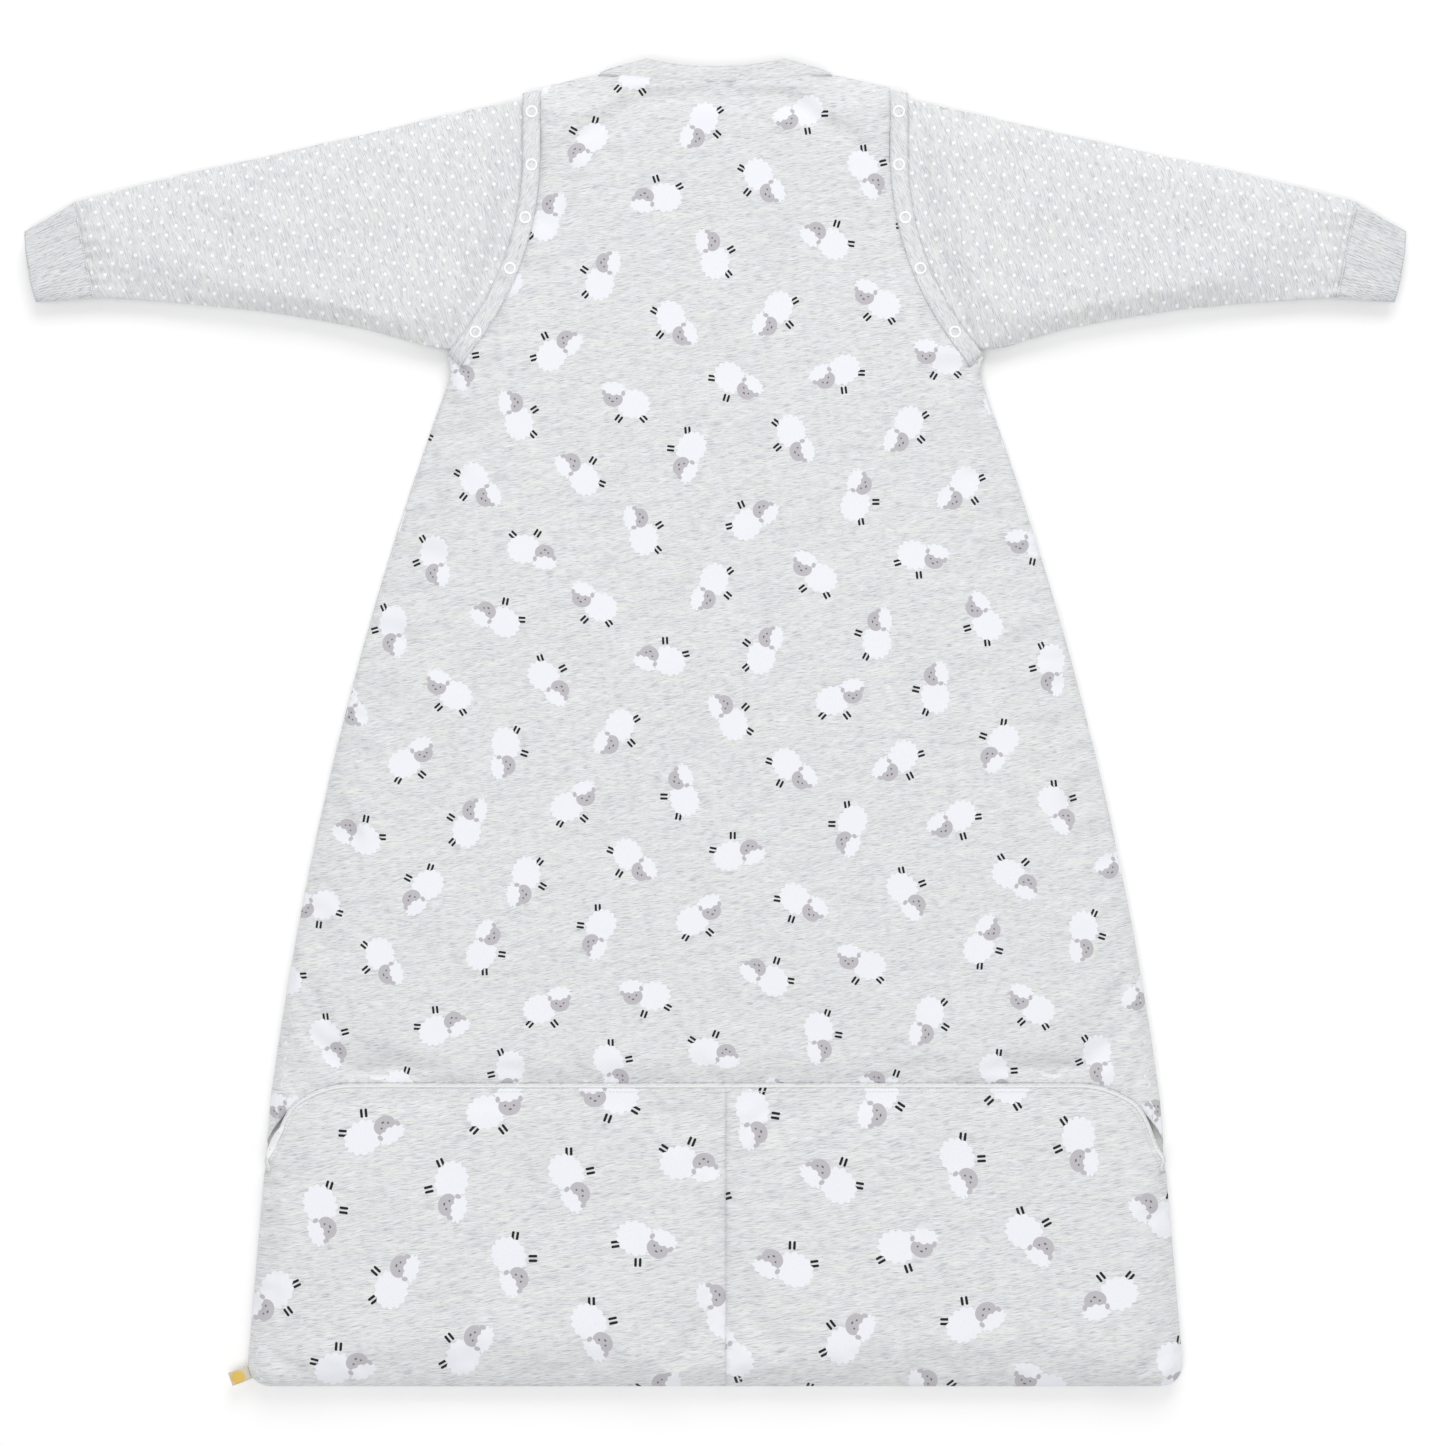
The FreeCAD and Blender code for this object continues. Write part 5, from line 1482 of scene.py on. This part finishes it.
def make_sleeve_seam(side, grid):
    """The join to the cuff: a rolled edge and a row of stitches round the sleeve's end."""
    ring = grid[-1]
    roll = tube(np.concatenate([ring, ring[:2]]), CUFF_SEAM, 6)
    above = grid[-3] + (grid[-3] - inward(grid, 0.0004)[-3])
    sewn = stitches(np.concatenate([above, above[:1]]))
    made = piece(f"cuff_seam_{side}", [roll, sewn], "dotted_jersey", "plain_jersey")
    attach(made, f"{side}_sleeve")


RIBBON_THICKNESS = 0.0011


def make_ribbon():
    """The ribbon in the corner of the hem, slightly curled."""
    outline = outlines(face_edges("ribbon_tab"))[0]
    low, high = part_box("ribbon_tab")
    slab = Slab(outline, 0.0014)
    x = (slab.plane[:, 0] - low.x) / (high.x - low.x)
    curl = 0.0022 * np.sin(x * 3.6 + 0.4) - 0.0030 * (1 - x) ** 2
    slab.low = at_level(slab.plane, low.z + curl)
    slab.high = at_level(slab.plane, low.z + RIBBON_THICKNESS + curl)
    made = piece("ribbon_loop", [slab.between(0.0, 1.0)], "ribbon")
    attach(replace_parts(made, "ribbon_tab"), "bag")


def finish_cad_parts():
    """Sliders, pulls, stops, tapes and press studs keep their CAD shape and get their materials."""
    for node in NODES.values():
        if node.hide_render:
            continue
        slot = slot_of(node)
        for holder in node.material_slots:
            holder.material = MATERIALS[slot]


# ---------------------------------------------------------------- floor, light and camera


def make_floor():
    """A plain white floor."""
    half = 6.0
    mesh = bpy.data.meshes.new("floor")
    corners = [(-half, -half, 0), (half, -half, 0), (half, half, 0), (-half, half, 0)]
    mesh.from_pydata(corners, [], [[0, 1, 2, 3]])
    floor = bpy.data.objects.new("floor", mesh)
    bpy.context.scene.collection.objects.link(floor)
    shader = Shader("floor_paper", 0.95, Specular_IOR_Level=0.0)
    place = shader.node("TexCoord").outputs["Object"]
    tone = shader.noise(place, (3.0, 3.0, 3.0), 2.0)
    colour = shader.ramp(tone, (0.3, (0.955, 0.955, 0.955)), (0.7, (0.965, 0.965, 0.965)))
    mesh.materials.append(shader.finish(colour))


def add_light(name, place, size, watts):
    """A round area light that points at the origin."""
    data = bpy.data.lights.new(name, "AREA")
    data.shape = "DISK"
    data.size = size
    data.energy = watts
    light = bpy.data.objects.new(name, data)
    light.location = place
    light.rotation_euler = (-Vector(place)).to_track_quat("-Z", "Y").to_euler()
    bpy.context.scene.collection.objects.link(light)


def make_studio():
    """High-key light: a white surround, a broad light beyond the neck and one above."""
    world = bpy.data.worlds.new("surround")
    world.use_nodes = True
    world.node_tree.nodes["Background"].inputs["Color"].default_value = (1, 1, 1, 1)
    world.node_tree.nodes["Background"].inputs["Strength"].default_value = 0.56
    bpy.context.scene.world = world
    add_light("neck_side", (0.5, 3.6, 2.9), 3.0, 78)
    add_light("above", (-0.2, -0.6, 4.2), 3.0, 68)
    bpy.context.scene.view_settings.view_transform = "Standard"


PICTURE_WIDTH = 1.194


def make_camera():
    """Straight above the bag, with the neck at the top of the picture."""
    data = bpy.data.cameras.new("camera")
    data.lens = 85
    data.sensor_width = 36
    camera = bpy.data.objects.new("camera", data)
    camera.location = (0.006, 0.001, TOP + PICTURE_WIDTH * data.lens / data.sensor_width)
    bpy.context.scene.collection.objects.link(camera)
    bpy.context.scene.camera = camera


make_back()
make_foot()
make_front()
make_bindings()
make_armhole_stitches()
make_seams()
make_foot_zip()
make_flap_edge()
make_zip_end()
make_front_zip()
make_sleeves()
make_ribbon()
finish_cad_parts()
make_floor()
make_studio()
make_camera()
